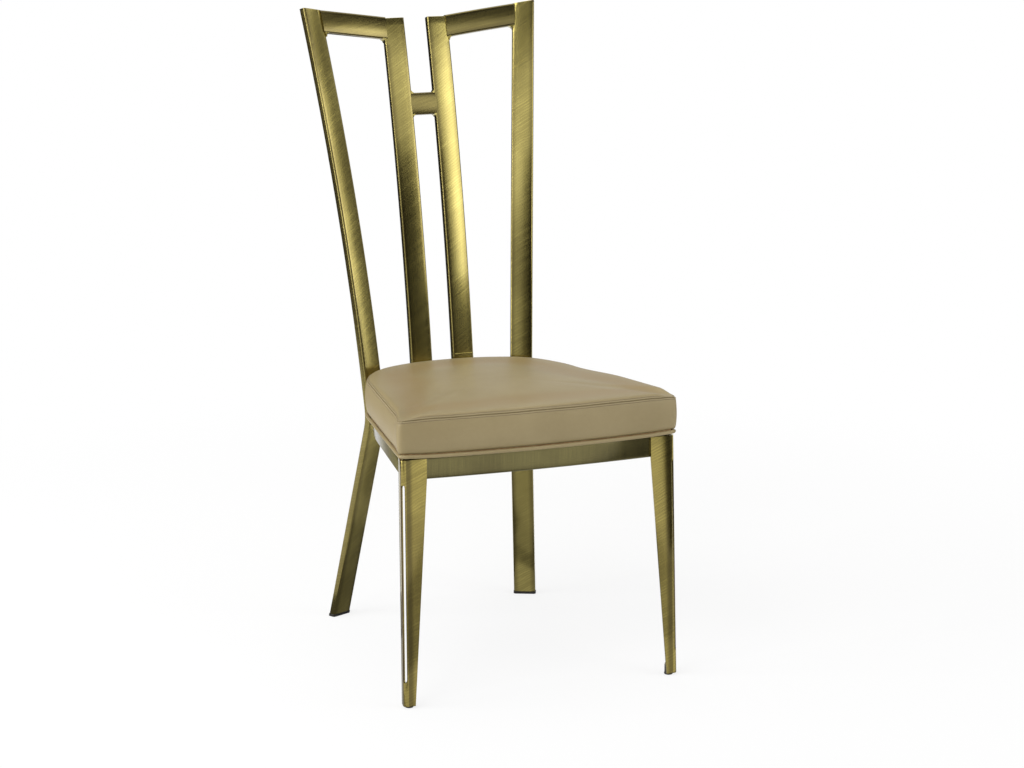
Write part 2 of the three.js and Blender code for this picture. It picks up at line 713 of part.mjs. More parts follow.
function makeGussets(side, label, neighbours) {
  for (const [end, place] of Object.entries(gussetPlaces(side))) {
    const [first, second] = place.legs;
    const pointAt = (along, across) => (
      place.corner.clone().addScaledVector(first, along).addScaledVector(second, across));
    const tip = place.reach * gussetTipShare;
    const shape = new THREE.Shape([
      pointAt(gussetCornerClip, 0), pointAt(place.reach, 0), pointAt(place.reach, tip),
      pointAt(tip, place.reach), pointAt(0, place.reach), pointAt(0, gussetCornerClip),
    ]);
    const at = screwPlace(place);
    shape.holes.push(new THREE.Path().absarc(at.x, at.y, screwRadius + screwHoleClearance, 0, 2 * Math.PI));
    const plate = new THREE.ExtrudeGeometry(shape,
      { depth: gussetThickness, bevelEnabled: false, curveSegments: roundSteps });
    plate.translate(0, 0, -gussetThickness);
    const gusset = cutAway(toSolid(plate), ...neighbours);
    addPiece(seatGroup, `corner_gusset_${end}_${label}`, toGeometry(gusset), 'bronze');
  }
}

const frontLineShares = [0.25, 0.5, 0.75];
const sideLineShares = [1 / 3, 2 / 3];

// Seat pad outline, inset all round by the given amount. Points run from the front's middle,
// round the right side to the back's middle, and home round the left side.
function padOutline(inset) {
  const tangent = Math.tan(padSideTaper);
  const frontBack = padFrontBack + inset;
  const sideAt = (back) => padFrontHalf - (back - padFrontBack) * tangent - inset / Math.cos(padSideTaper);
  const corner = new THREE.Vector2(sideAt(frontBack), frontBack);
  const reach = Math.max(padCornerReach - inset, padCornerReachLeast);
  const frontAt = (x) => corner.y - padFrontBow * (1 - (x / corner.x) ** 2);
  const half = [];
  for (const share of frontLineShares) {
    half.push(new THREE.Vector2(share * (corner.x - reach), frontAt(share * (corner.x - reach))));
  }
  const cornerEnd = new THREE.Vector2(
    corner.x - reach * Math.sin(padSideTaper), corner.y + reach * Math.cos(padSideTaper));
  const cornerStart = new THREE.Vector2(corner.x - reach, frontAt(corner.x - reach));
  half.push(...new THREE.QuadraticBezierCurve(cornerStart, corner, cornerEnd).getPoints(padCornerSteps));
  const sideEnd = new THREE.Vector2(sideAt(padSideEnd), padSideEnd);
  half.push(...sideLineShares.map((share) => cornerEnd.clone().lerp(sideEnd, share)));
  const rearMiddle = new THREE.Vector2(0, padRearBack - inset);
  const backward = new THREE.Vector2(-Math.sin(padSideTaper), Math.cos(padSideTaper));
  const rear = new THREE.CubicBezierCurve(sideEnd,
    sideEnd.clone().addScaledVector(backward, padSidePull - inset / 2),
    rearMiddle.clone().add(new THREE.Vector2(padRearPull - inset / 2, 0)), rearMiddle);
  half.push(...rear.getPoints(padRearSteps));
  const mirrored = half.slice(0, -1).reverse().map((p) => new THREE.Vector2(-p.x, p.y));
  return [new THREE.Vector2(0, frontAt(0)), ...half, ...mirrored];
}

// The boxing bulges less near the front corners
function bulgeShares() {
  const corner = new THREE.Vector2(padFrontHalf, padFrontBack);
  return padOutline(0).map((p) => {
    const away = corner.distanceTo(new THREE.Vector2(Math.abs(p.x), p.y));
    return THREE.MathUtils.lerp(bulgeCornerShare, 1, THREE.MathUtils.smoothstep(away, 0, bulgeCornerFade));
  });
}

const padCentre = new THREE.Vector2(0, (padFrontBack + padRearBack) / 2);

// Rings of the pad: a bulging boxing from low to the seam, then the crown. Grown inwards by inset.
const boxingShares = [[0.16, 0.5], [0.42, 1], [0.72, 0.9], [1, 0]];
const crownShares = [[0.02, 0.2], [0.05, 0.36], [0.13, 0.56], [0.32, 0.8], [0.62, 0.95]];

function padRings(inset, low, drop, boxing, crown) {
  const shares = bulgeShares();
  const base = padOutline(inset);
  const outward = padOutline(inset - boxingBulge);
  const top = seamHeight - drop;
  const rings = boxing.map(([rise, bulge]) => base.map((p, i) => {
    const at = p.clone().lerp(outward[i], bulge * shares[i]);
    return new THREE.Vector3(at.x, at.y, THREE.MathUtils.lerp(low, top, rise));
  }));
  for (const [inward, lift] of crown) {
    rings.push(base.map((p) => {
      const at = p.clone().lerp(padCentre, inward);
      return new THREE.Vector3(at.x, at.y, top + crownRise * lift);
    }));
  }
  return rings;
}

function flatRing(inset, height) {
  return padOutline(inset).map((p) => new THREE.Vector3(p.x, p.y, height));
}

const weltTop = weltRise + weltRadius + sewnGap;
const weltBack = weltRadius - weltOutset + sewnGap;

// Cover: boxing, crowned top and an edge turned under the board, open below
function makeCover() {
  const outer = [
    flatRing(coverReturn, sewnGap), flatRing(weltBack, sewnGap), flatRing(weltBack, weltTop),
    flatRing(0, weltTop + coverThickness / 2), ...padRings(0, weltTop, 0, boxingShares, crownShares)];
  const wall = weltBack + coverThickness;
  const inner = [
    flatRing(coverReturn, sewnGap + coverThickness), flatRing(wall, sewnGap + coverThickness),
    flatRing(wall, weltTop + coverThickness),
    ...padRings(coverThickness, weltTop, coverThickness, boxingShares.slice(1), crownShares.slice(2))];
  const outerTip = new THREE.Vector3(padCentre.x, padCentre.y, seamHeight + crownRise);
  const innerTip = outerTip.clone().setZ(outerTip.z - coverThickness);
  addPiece(seatGroup, 'seat_cover', shell(outer, outerTip, inner, innerTip), 'leather');
}

function shell(outer, outerTip, inner, innerTip) {
  const count = outer[0].length;
  const points = [...outer.flat(), outerTip, ...inner.flat(), innerTip];
  const outerTop = outer.length * count;
  const innerStart = outerTop + 1;
  const innerTop = innerStart + inner.length * count;
  const faces = [];
  const quad = (a, b, c, d) => faces.push(a, b, c, a, c, d);
  for (let i = 0; i < count; i += 1) {
    const next = (i + 1) % count;
    for (let ring = 0; ring + 1 < outer.length; ring += 1) {
      const low = ring * count;
      quad(low + i, low + next, low + count + next, low + count + i);
    }
    for (let ring = 0; ring + 1 < inner.length; ring += 1) {
      const low = innerStart + ring * count;
      quad(low + count + next, low + next, low + i, low + count + i);
    }
    faces.push(outerTop - count + i, outerTop - count + next, outerTop);
    faces.push(innerTop - count + next, innerTop - count + i, innerTop);
    quad(innerStart + i, innerStart + next, next, i);
  }
  return closedGeometry(points, faces);
}

// Foam block: the pad's form, clear of the cover and the board
function makeFoam(boardTop) {
  const inset = coverThickness + sewnGap;
  const low = boardTop + sewnGap;
  const rings = [
    flatRing(weltBack + inset, low),
    ...padRings(inset, weltTop, inset, boxingShares.slice(1), crownShares.slice(2))];
  const tip = new THREE.Vector3(padCentre.x, padCentre.y, seamHeight + crownRise - inset);
  const count = rings[0].length;
  const points = [...rings.flat(), tip, new THREE.Vector3(padCentre.x, padCentre.y, low)];
  const faces = [];
  for (let i = 0; i < count; i += 1) {
    const next = (i + 1) % count;
    for (let ring = 0; ring + 1 < rings.length; ring += 1) {
      const base = ring * count;
      faces.push(base + i, base + next, base + count + next, base + i, base + count + next, base + count + i);
    }
    faces.push((rings.length - 1) * count + i, (rings.length - 1) * count + next, rings.length * count);
    faces.push(next, i, rings.length * count + 1);
  }
  addPiece(seatGroup, 'seat_foam', closedGeometry(points, faces), 'foam');
}

// Welt cord round the foot of the boxing
function makeWelt() {
  const line = padOutline(-weltOutset).map((p) => new THREE.Vector3(p.x, p.y, weltRise));
  const count = line.length;
  const points = [];
  const faces = [];
  line.forEach((centre, i) => {
    const along = line[(i + 1) % count].clone().sub(line[(i + count - 1) % count]).normalize();
    const outward = new THREE.Vector3(along.y, -along.x, 0);
    for (let k = 0; k < weltSteps; k += 1) {
      const angle = 2 * Math.PI * (k + 0.5) / weltSteps;
      points.push(centre.clone()
        .addScaledVector(outward, weltRadius * Math.cos(angle))
        .add(new THREE.Vector3(0, 0, weltRadius * Math.sin(angle))));
      const a = i * weltSteps + k;
      const b = i * weltSteps + (k + 1) % weltSteps;
      const shift = ((i + 1) % count) * weltSteps - i * weltSteps;
      faces.push(a, b, b + shift, a, b + shift, a + shift);
    }
  });
  addPiece(seatGroup, 'seat_piping', closedGeometry(points, faces), 'leather');
}

// Board, tee nuts and screws

function roundBar(radius, low, high, at) {
  const cylinder = new THREE.CylinderGeometry(radius, radius, high - low, roundSteps);
  cylinder.rotateX(Math.PI / 2);
  cylinder.translate(at.x, at.y, (low + high) / 2);
  return toSolid(cylinder);
}

function latheAt(profile, at) {
  const geometry = new THREE.LatheGeometry(profile.map(([x, y]) => new THREE.Vector2(x, y)), roundSteps);
  geometry.rotateX(Math.PI / 2);
  return geometry.translate(at.x, at.y, 0);
}

function makeBoardAndFixings() {
  const boardLow = sewnGap + coverThickness + weldGap;
  const boardTop = boardLow + boardThickness;
  const places = [];
  for (const [label, side] of [['left', -1], ['right', 1]]) {
    for (const [end, place] of Object.entries(gussetPlaces(side))) {
      places.push({ label: `${end}_${label}`, at: screwPlace(place) });
    }
  }
  const boardInset = weltBack + coverThickness + sewnGap;
  const board = new THREE.ExtrudeGeometry(new THREE.Shape(padOutline(boardInset)),
    { depth: boardThickness, bevelEnabled: false });
  board.translate(0, 0, boardLow);
  const dust = new THREE.ExtrudeGeometry(new THREE.Shape(padOutline(coverReturn + sewnGap)),
    { depth: dustCoverThickness, bevelEnabled: false });
  dust.translate(0, 0, sewnGap);
  let boardSolid = toSolid(board);
  let dustSolid = toSolid(dust);
  const flangeLow = boardTop - teeFlangeThickness - weldGap;
  for (const { label, at } of places) {
    const barrelHole = roundBar(teeBarrelRadius + weldGap, boardLow - cutOverrun, boardTop + cutOverrun, at);
    const flangeHole = roundBar(teeFlangeRadius + weldGap, flangeLow - weldGap, boardTop + cutOverrun, at);
    boardSolid = cutAway(boardSolid, barrelHole, flangeHole);
    dustSolid = cutAway(dustSolid, roundBar(teeBarrelRadius, -cutOverrun, cutOverrun, at));

    const threadRadius = screwRadius + weldGap;
    const flangeTop = flangeLow + teeFlangeThickness;
    addPiece(seatGroup, `tee_nut_${label}`, latheAt([
      [threadRadius, flangeTop - teeBarrelLength], [teeBarrelRadius, flangeTop - teeBarrelLength],
      [teeBarrelRadius, flangeLow], [teeFlangeRadius, flangeLow], [teeFlangeRadius, flangeTop],
      [threadRadius, flangeTop], [threadRadius, flangeTop - teeBarrelLength],
    ], at), 'zinc');

    const headTop = -gussetThickness - weldGap;
    const headLow = headTop - screwHeadHeight;
    addPiece(seatGroup, `seat_screw_${label}`, latheAt([
      [0, headLow + socketDepth], [socketRadius, headLow + socketDepth], [socketRadius, headLow],
      [screwHeadRadius * screwHeadShares.top, headLow],
      [screwHeadRadius, headLow + screwHeadHeight * screwHeadShares.edge],
      [screwHeadRadius, headTop], [screwRadius, headTop], [screwRadius, headTop + screwLength],
      [0, headTop + screwLength],
    ], at), 'zinc');
  }
  addPiece(seatGroup, 'seat_board', toGeometry(boardSolid), 'plywood');
  addPiece(seatGroup, 'dust_cover', toGeometry(dustSolid), 'cambric');
  return boardTop;
}

// Assembly

const rightSide = makeBackSide(1, 'right');
const leftSide = makeBackSide(-1, 'left');
makeBridge(rightSide, leftSide);
for (const [label, side] of [['left', -1], ['right', 1]]) {
  makeRearCap(side, label);
  makeFrontLeg(side, label);
  makeFrontFoot(side, label);
}
makeSeatFrame(rightSide, leftSide);
const boardTop = makeBoardAndFixings();
makeFoam(boardTop);
makeCover();
makeWelt();

// The origin goes under the middle of the chair's box
chair.updateMatrixWorld(true);
const box = new THREE.Box3().setFromObject(chair, true);
chair.position.y = -(box.min.y + box.max.y) / 2;

export default chair;
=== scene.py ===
import math
import bpy
import bmesh
from mathutils import Matrix, Vector
from mathutils.bvhtree import BVHTree


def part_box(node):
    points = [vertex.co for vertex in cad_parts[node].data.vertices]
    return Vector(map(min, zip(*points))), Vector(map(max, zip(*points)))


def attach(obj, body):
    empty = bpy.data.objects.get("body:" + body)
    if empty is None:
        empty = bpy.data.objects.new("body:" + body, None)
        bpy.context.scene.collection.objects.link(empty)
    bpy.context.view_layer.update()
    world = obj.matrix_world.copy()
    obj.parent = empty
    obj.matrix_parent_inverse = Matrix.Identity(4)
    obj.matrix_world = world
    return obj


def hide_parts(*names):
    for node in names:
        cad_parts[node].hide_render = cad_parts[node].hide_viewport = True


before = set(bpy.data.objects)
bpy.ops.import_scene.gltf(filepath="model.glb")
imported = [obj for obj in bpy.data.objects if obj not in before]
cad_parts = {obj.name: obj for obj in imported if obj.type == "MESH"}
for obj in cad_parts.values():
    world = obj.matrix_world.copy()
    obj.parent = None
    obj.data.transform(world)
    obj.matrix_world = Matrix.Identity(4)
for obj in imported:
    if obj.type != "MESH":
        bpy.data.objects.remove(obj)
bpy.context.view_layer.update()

sides = {"left": -1, "right": 1}
body = "root"
seat = {
    "height": 0.3973,
    "tilt": math.radians(1.72),
    "legFootFront": -0.0065,  # the front leg's foremost edge, in the seat's own frame
}
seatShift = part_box("front_leg_right")[0].y - seat["legFootFront"]
seatPlace = Matrix.Translation((0, seatShift, seat["height"])) @ Matrix.Rotation(-seat["tilt"], 4, "X")


# Small helpers

def pick(*pieces):
    bpy.ops.object.select_all(action="DESELECT")
    for piece in pieces:
        piece.select_set(True)
    bpy.context.view_layer.objects.active = pieces[-1]


def editMode(on=True):
    bpy.ops.object.mode_set(mode="EDIT" if on else "OBJECT")


def applyModifiers(piece):
    pick(piece)
    for modifier in list(piece.modifiers):
        bpy.ops.object.modifier_apply(modifier=modifier.name)


def smooth(piece, degrees=45):
    pick(piece)
    bpy.ops.object.shade_smooth_by_angle(angle=math.radians(degrees))


def newMesh(name, points, faces):
    mesh = bpy.data.meshes.new(name)
    mesh.from_pydata([tuple(p) for p in points], [], faces)
    mesh.update()
    piece = bpy.data.objects.new(name, mesh)
    bpy.context.scene.collection.objects.link(piece)
    return piece


def dress(piece, material, nodes=()):
    piece.data.materials.clear()
    piece.data.materials.append(material)
    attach(piece, body)
    if nodes:
        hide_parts(*nodes)
    return piece


def copyNode(node, name):
    # The CAD mesh is loose triangles, so its copy is merged before it is worked on
    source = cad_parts[node]
    piece = bpy.data.objects.new(name, source.data.copy())
    bpy.context.scene.collection.objects.link(piece)
    pick(piece)
    editMode()
    bpy.ops.mesh.select_all(action="SELECT")
    bpy.ops.mesh.remove_doubles(threshold=1e-5)
    editMode(False)
    return piece


def mix(a, b, share):
    return a + (b - a) * share


def ease(share):
    share = min(max(share, 0), 1)
    return share * share * (3 - 2 * share)


def bezier(points, share):
    points = list(points)
    while len(points) > 1:
        points = [a.lerp(b, share) for a, b in zip(points, points[1:])]
    return points[0]


def evenly(points, count, closed=True):
    # The same line again, with its points at even distances
    line = points + [points[0]] if closed else points
    reach = [0.0]
    for a, b in zip(line, line[1:]):
        reach.append(reach[-1] + (b - a).length)
    result, at = [], 0
    for i in range(count):
        want = reach[-1] * i / (count if closed else count - 1)
        while at + 2 < len(reach) and reach[at + 1] < want:
            at += 1
        span = reach[at + 1] - reach[at]
        result.append(line[at].lerp(line[at + 1], (want - reach[at]) / span if span else 0))
    return result


# Shader graphs

class Value:
    # One output socket, so that shader maths reads as plain sums
    def __init__(self, graph, socket):
        self.graph = graph
        self.socket = socket

    def step(self, operation, *values):
        node = self.graph.add("Math", {"operation": operation}, dict(enumerate(values)))
        return Value(self.graph, node.outputs[0])

    def __add__(self, other):
        return self.step("ADD", self, other)

    def __sub__(self, other):
        return self.step("SUBTRACT", self, other)

    def __rsub__(self, other):
        return self.step("SUBTRACT", other, self)

    def __mul__(self, other):
        return self.step("MULTIPLY", self, other)

    __radd__ = __add__
    __rmul__ = __mul__

    def size(self):
        return self.step("ABSOLUTE", self)

    def wave(self):
        return self.step("SINE", self)

    def between(self, low, high):
        # 0 below low, 1 above high, smooth in the middle
        node = self.graph.add("MapRange", {"interpolation_type": "SMOOTHSTEP"},
                              {"Value": self, "From Min": low, "From Max": high})
        return Value(self.graph, node.outputs[0])


class Graph:
    def __init__(self, tree):
        self.tree = tree
        tree.nodes.clear()

    def feed(self, socket, value):
        if isinstance(value, Value):
            value = value.socket
        if isinstance(value, bpy.types.NodeSocket):
            self.tree.links.new(value, socket)
        else:
            socket.default_value = value

    def add(self, kind, settings=None, sockets=None):
        node = self.tree.nodes.new("ShaderNode" + kind)
        for name, value in (settings or {}).items():
            setattr(node, name, value)
        for name, value in (sockets or {}).items():
            self.feed(node.inputs[name], value)
        return node

    def value(self, kind, settings=None, sockets=None, output=0):
        return Value(self, self.add(kind, settings, sockets).outputs[output])

    def place(self, scale=(1, 1, 1), turn=(0, 0, 0)):
        # Object coordinates, turned and then scaled
        where = self.add("TexCoord").outputs["Object"]
        if any(turn):
            where = self.add("Mapping", {}, {"Vector": where, "Rotation": turn}).outputs[0]
        return self.add("Mapping", {}, {"Vector": where, "Scale": scale}).outputs[0]

    def noise(self, where, detail=3, roughness=0.5):
        return self.value("TexNoise", {}, {"Vector": where, "Scale": 1, "Detail": detail,
                                           "Roughness": roughness})

    def blend(self, share, low, high):
        node = self.add("Mix", {"data_type": "RGBA"}, {0: share, 6: low, 7: high})
        return node.outputs[2]

    def bump(self, height, distance, strength):
        return self.add("Bump", {}, {"Height": height, "Distance": distance,
                                     "Strength": strength}).outputs[0]

    def seenPlain(self):
        # 1 where the camera, a mirror or glass looks, 0 for the light that falls on things
        path = self.add("LightPath")
        kinds = ("Is Camera Ray", "Is Glossy Ray", "Is Transmission Ray")
        seen, mirrored, through = [Value(self, path.outputs[kind]) for kind in kinds]
        return (seen + mirrored + through).between(0, 1)

    def surface(self, sockets):
        shader = self.add("BsdfPrincipled", {}, sockets)
        self.add("OutputMaterial", {}, {"Surface": shader.outputs[0]})


def material(name):
    made = bpy.data.materials.new(name)
    made.use_nodes = True
    return made, Graph(made.node_tree)


def colour(red, green, blue):
    # A colour as it looks on screen, 0 to 255
    def line(part):
        part /= 255
        return part / 12.92 if part <= 0.04045 else ((part + 0.055) / 1.055) ** 2.4
    return (line(red), line(green), line(blue), 1)


# Materials

# The four tints are lit and shaded copies of the one bronze: bars, legs and aprons are painted darker as
# painted shade, for the darker light they mirror
bronze = {
    "posts": {"light": colour(206, 191, 112), "middle": colour(165, 151, 82), "dark": colour(74, 62, 32)},
    "bars": {"light": colour(160, 147, 86), "middle": colour(126, 114, 64), "dark": colour(70, 60, 34)},
    "legs": {"light": colour(186, 170, 94), "middle": colour(138, 123, 62), "dark": colour(64, 54, 28)},
    "aprons": {"light": colour(130, 122, 76), "middle": colour(94, 86, 50), "dark": colour(60, 54, 34)},
    # painted shade on the walls of the legs' slots
    "cut": colour(84, 66, 48),
    # the belt's marks: how strong, and how far apart
    "ripple": {"posts": (0.1, 0.004), "legs": (0.1, 0.0046), "bars": (0.03, 0.004), "aprons": (0.05, 0.004)},
    # scales of the fine hairs, the belt's strokes, the clouding and the drift of its marks
    "hair": (60, 160, 2200), "stroke": (10, 50, 420), "cloud": (9, 9, 9), "drift": (26, 26, 26),
    "darkening": 0.2, "paintedEdgeShade": 0.5,
    "roughness": 0.145, "coat": 0.4, "coatRoughness": 0.12, "scratchDepth": 0.000012,
}
legFold = {
    # where the outer faces of the right front leg would meet, and how that line leans
    "x": 0.2347, "xPerHeight": -0.00915, "yPerHeight": 0.03916, "foot": 0.004,
    # painted shade in from that line, and painted shade on the slot's walls, back and in from it
    "bandFrom": 0.0078, "bandFull": 0.0096, "bandFade": 0.0135, "bandTo": 0.0205, "band": 0.6,
    "slotBack": 0.0052, "slotPlay": 0.0005, "slotFrom": 0.001, "slotTo": 0.0026,
}


def foldShades(graph, where):
    # Painted shade beside the leg's fold, and painted shade on the walls of its slot
    place = graph.add("SeparateXYZ", {}, {0: where})
    x, y, z = [Value(graph, place.outputs[i]) for i in range(3)]
    rise = z - legFold["foot"]
    inwards = rise * legFold["xPerHeight"] + legFold["x"] - x.size()
    behind = y - rise * legFold["yPerHeight"] - (seatShift + seat["legFootFront"])
    band = inwards.between(legFold["bandFrom"], legFold["bandFull"])
    band = band * (1 - inwards.between(legFold["bandFade"], legFold["bandTo"])) * legFold["band"]
    wall = 1 - (behind - legFold["slotBack"]).size().between(legFold["slotPlay"], legFold["slotPlay"] * 2)
    wall = wall * inwards.between(legFold["slotFrom"], legFold["slotFrom"] * 1.5)
    return band, wall * (1 - inwards.between(legFold["slotTo"], legFold["slotTo"] * 1.3))


def brushedBronze(name, turn, tint="posts"):
    # Belt-brushed steel toned to bronze under clear lacquer; turn is the way of the strokes
    made, graph = material(name)
    # tint picks one of the lit and shaded copies of the bronze, painted shade
    shadeOf = bronze[tint]
    around = (0, turn, 0)
    hair = graph.noise(graph.place(bronze["hair"], around), detail=1)
    stroke = graph.noise(graph.place(bronze["stroke"], around), detail=2)
    cloud = graph.noise(graph.place(bronze["cloud"]))
    drift = graph.noise(graph.place(bronze["drift"]), detail=1)
    fall = graph.value("SeparateXYZ", {}, {0: graph.place((1, 1, 1), around)}, output=2)
    strength, length = bronze["ripple"][tint]
    ripple = (fall * (2 * math.pi / length) + drift * 14).wave() * stroke.between(0.25, 0.6)
    tone = (cloud * 0.45 + stroke * 0.3 + hair * 0.12 + ripple * strength + 0.06).between(0.1, 0.9)
    shade = (cloud * 0.7 + stroke * 0.3).between(0.62, 0.4)
    base = graph.blend(tone, shadeOf["middle"], shadeOf["light"])
    base = graph.blend(shade * bronze["darkening"], base, shadeOf["dark"])
    # Painted shade: the base is darker along the edges of the tubes' flat sides, where their rounded corners
    # mirror dark
    edge = graph.value("Attribute", {"attribute_name": "edgeShare"}, output=2)
    base = graph.blend(edge.between(0.5, 1.06) * bronze["paintedEdgeShade"], base, shadeOf["dark"])
    if tint == "legs":
        band, wall = foldShades(graph, graph.place((1, 1, 1)))
        # painted shade: the band beside the fold is darkened, and the slot's walls too
        base = graph.blend(band, base, shadeOf["dark"])
        base = graph.blend(wall, base, bronze["cut"])
    scratches = (hair * 0.2 + stroke * 0.5) * (1 - edge.between(0.1, 0.6))  # none on rounded edges
    graph.surface({
        "Base Color": base,
        "Metallic": 1.0,
        "Roughness": bronze["roughness"] + stroke * 0.08 + hair * 0.03,
        "Coat Weight": bronze["coat"],
        "Coat Roughness": bronze["coatRoughness"],
        "Normal": graph.bump(scratches, bronze["scratchDepth"], 0.5),
    })
    return made


leather = {
    "light": colour(159, 143, 104),
    "dark": colour(143, 127, 88),
    # the seam's dark joint, and painted shadow of the thread along the stitch rows
    "seam": colour(100, 86, 62),
    # painted highlight on the roll beside the seam
    "seamHighlight": colour(172, 158, 126),
    "dip": colour(142, 119, 75),  # painted shade: browner where the top panel dips behind the seam, for the lower sheen there
    "roughness": 0.5,
}
topSeam = {
    # distances from the seam: the stitch rows, a painted highlight beside it and the painted shade of the dip
    "row": 0.0034, "seamHighlight": 0.0018, "dip": 0.058,
    # its cross-section: how deep, how far from the seam and how wide
    "shape": ((0.0011, 0, 0.0009), (-0.0005, 0.0018, 0.0012), (0.0004, 0.0036, 0.0008)),
}


def leatherRelief(graph):
    # Pebble grain of about a millimetre with finer pores and slow creases
    cells = graph.value("TexVoronoi", {"feature": "DISTANCE_TO_EDGE"},
                        {"Vector": graph.place((1, 1, 1)), "Scale": 900, "Randomness": 1})
    pores = graph.noise(graph.place((2400, 2400, 2400)), detail=2)
    creases = graph.noise(graph.place((130, 130, 130)), detail=4, roughness=0.6)
    return cells.between(0, 0.35), pores, creases


def leatherMaterial(name, withSeams):
    made, graph = material(name)
    grain, pores, creases = leatherRelief(graph)
    cloud = graph.noise(graph.place((9, 9, 9)), detail=4)
    tone = (cloud * 0.9 + creases * 0.25 + grain * 0.12 - 0.2).between(0.1, 0.9)
    base = graph.blend(tone, leather["dark"], leather["light"])
    height = grain * 0.5 + pores * 0.18 + creases * 0.5
    if withSeams:
        # seamAcross is the distance from the top seam in metres, over the surface
        across = graph.value("Attribute", {"attribute_name": "seamAcross"}, output=2)
        groove = 1 - across.size().between(0.0001, 0.0008)
        rows = 1 - (across.size() - topSeam["row"]).size().between(0.0002, 0.0011)
        # painted highlight on the roll beside the seam
        seamHighlight = 1 - (across.size() - topSeam["seamHighlight"]).size().between(0.0004, 0.0014)
        # painted shade where the top panel dips behind the seam
        dip = 1 - (across - topSeam["dip"]).size().between(0.01, 0.052)
        base = graph.blend(dip * 0.66, base, leather["dip"])
        base = graph.blend(seamHighlight * 0.35, base, leather["seamHighlight"])
        # painted shadow of the thread along the stitch rows; the groove is the seam's dark joint
        base = graph.blend(groove * 0.4 + rows * 0.44, base, leather["seam"])
        height = height - groove * 4 - rows * 2
    graph.surface({
        "Base Color": base,
        "Roughness": leather["roughness"] + pores * 0.1 - grain * 0.06,
        "Coat Weight": 0.05,
        "Coat Roughness": 0.3,
        "Normal": graph.bump(height, 0.00011, 0.7),
    })
    return made


def mouldedPlastic(name, tint):
    made, graph = material(name)
    fine = graph.noise(graph.place((3000, 3000, 3000)), detail=2)
    scuff = graph.noise(graph.place((160, 160, 160)), detail=4)
    graph.surface({
        "Base Color": graph.blend(scuff.between(0.35, 0.75), tint, [c * 1.7 + 0.004 for c in tint[:3]] + [1]),
        "Roughness": 0.42 + fine * 0.12 + scuff * 0.1,
        "Normal": graph.bump(fine, 0.00008, 0.5),
    })
    return made


def threadMaterial(name, tint):
    made, graph = material(name)
    twist = (graph.noise(graph.place((5200, 5200, 5200)), detail=1)).between(0.3, 0.7)
    graph.surface({
        "Base Color": graph.blend(twist, [c * 0.75 for c in tint[:3]] + [1], tint),
        "Roughness": 0.62 + twist * 0.1,
        "Normal": graph.bump(twist, 0.0001, 0.6),
    })
    return made


def wovenCambric(name):
    made, graph = material(name)
    where = graph.add("SeparateXYZ", {}, {0: graph.place((2600, 2600, 2600))})
    warp = Value(graph, where.outputs[0]).wave()
    weft = Value(graph, where.outputs[1]).wave()
    weave = (warp * weft + 1) * 0.5
    graph.surface({
        "Base Color": graph.blend(weave, colour(30, 29, 28), colour(58, 56, 54)),
        "Roughness": 0.85 + weave * 0.1,
        "Normal": graph.bump(weave, 0.0002, 0.8),
    })
    return made


def plywoodMaterial(name):
    made, graph = material(name)
    grain = graph.noise(graph.place((220, 9, 500)), detail=4, roughness=0.6)
    rings = graph.noise(graph.place((40, 4, 40)), detail=2)
    tone = (grain * 0.7 + rings * 0.4).between(0.3, 0.8)
    graph.surface({
        "Base Color": graph.blend(tone, colour(168, 128, 84), colour(214, 180, 132)),
        "Roughness": 0.6 + grain * 0.15,
        "Normal": graph.bump(grain, 0.0003, 0.5),
    })
    return made


def zincMaterial(name):
    made, graph = material(name)
    spangle = graph.noise(graph.place((420, 420, 420)), detail=3)
    fine = graph.noise(graph.place((2800, 2800, 2800)), detail=1)
    graph.surface({
        "Base Color": graph.blend(spangle.between(0.3, 0.7), colour(168, 170, 174), colour(206, 207, 208)),
        "Metallic": 1.0,
        "Roughness": 0.28 + spangle * 0.14 + fine * 0.05,
        "Normal": graph.bump(fine, 0.00005, 0.4),
    })
    return made


postBronze = brushedBronze("bronze_posts", math.radians(33))
legBronze = brushedBronze("bronze_legs", math.radians(23), "legs")
barBronze = brushedBronze("bronze_bars", math.radians(12), "bars")
apronBronze = brushedBronze("bronze_aprons", math.radians(88), "aprons")
leatherSeamed = leatherMaterial("leather_cover", True)
leatherPlain = leatherMaterial("leather_welt", False)
blackPlastic = mouldedPlastic("black_plastic", colour(28, 25, 21))
thread = threadMaterial("stitch_thread", colour(150, 134, 102))
print("stage: materials made")


# Tubes and plates of the frame

tube = {
    "width": 0.0381, "thickness": 0.014, "corner": 0.0032,
    "crown": 0.0005,  # how much the flat sides bulge
    "cornerSteps": 6, "flatSteps": 10, "smoothBelow": 40,
    "lidEdge": 0.0006, "lidSegments": 3,
    "railLap": 0.0015,  # how far a rail's end runs on over a post's flat side
}
back = {
    # centre lines of the right half's tubes, from the seat frame's origin on the floor
    "outerFoot": (0.1726, 0.5067, 0), "knee": (0.1312, 0.4211, 0.3627), "kneeReach": 0.02,
    "outerPull": (0.1507, 0.4669, 0.6981), "outerTop": (0.1905, 0.562, 1.0335),
    "outerTurn": math.radians(25), "footCut": 0.005,
    "innerFoot": (0.0371, 0.4482, 0.3888), "innerPull": (0.0382, 0.4898, 0.7112),
    "innerTop": (0.0393, 0.5889, 1.0335), "innerTurn": math.radians(-2),
    "railOuterDrop": 0.0165, "railInnerDrop": 0.038, "bridgeDrop": 0.1614,
    "overrun": 0.024, "legSteps": 6, "kneeSteps": 10, "postSteps": 40, "overSteps": 2, "railSteps": 16,
}
weld = {
    "outer": 0.0065, "inner": 0.0052, "bridge": 0.0035, "depth": 0.0122, "root": 0.002, "arcSteps": 7,
    "hollow": 0.12, "under": 0.9,  # how far in the bead's face lies, and how far it runs under
    "footHeight": 0.4545, "footRadius": 0.0008, "footSides": 10,
    "edgeShadeFadeFrom": 0.016, "edgeShadeFadeTo": 0.03,  # the painted edge shade fades out round a weld
}


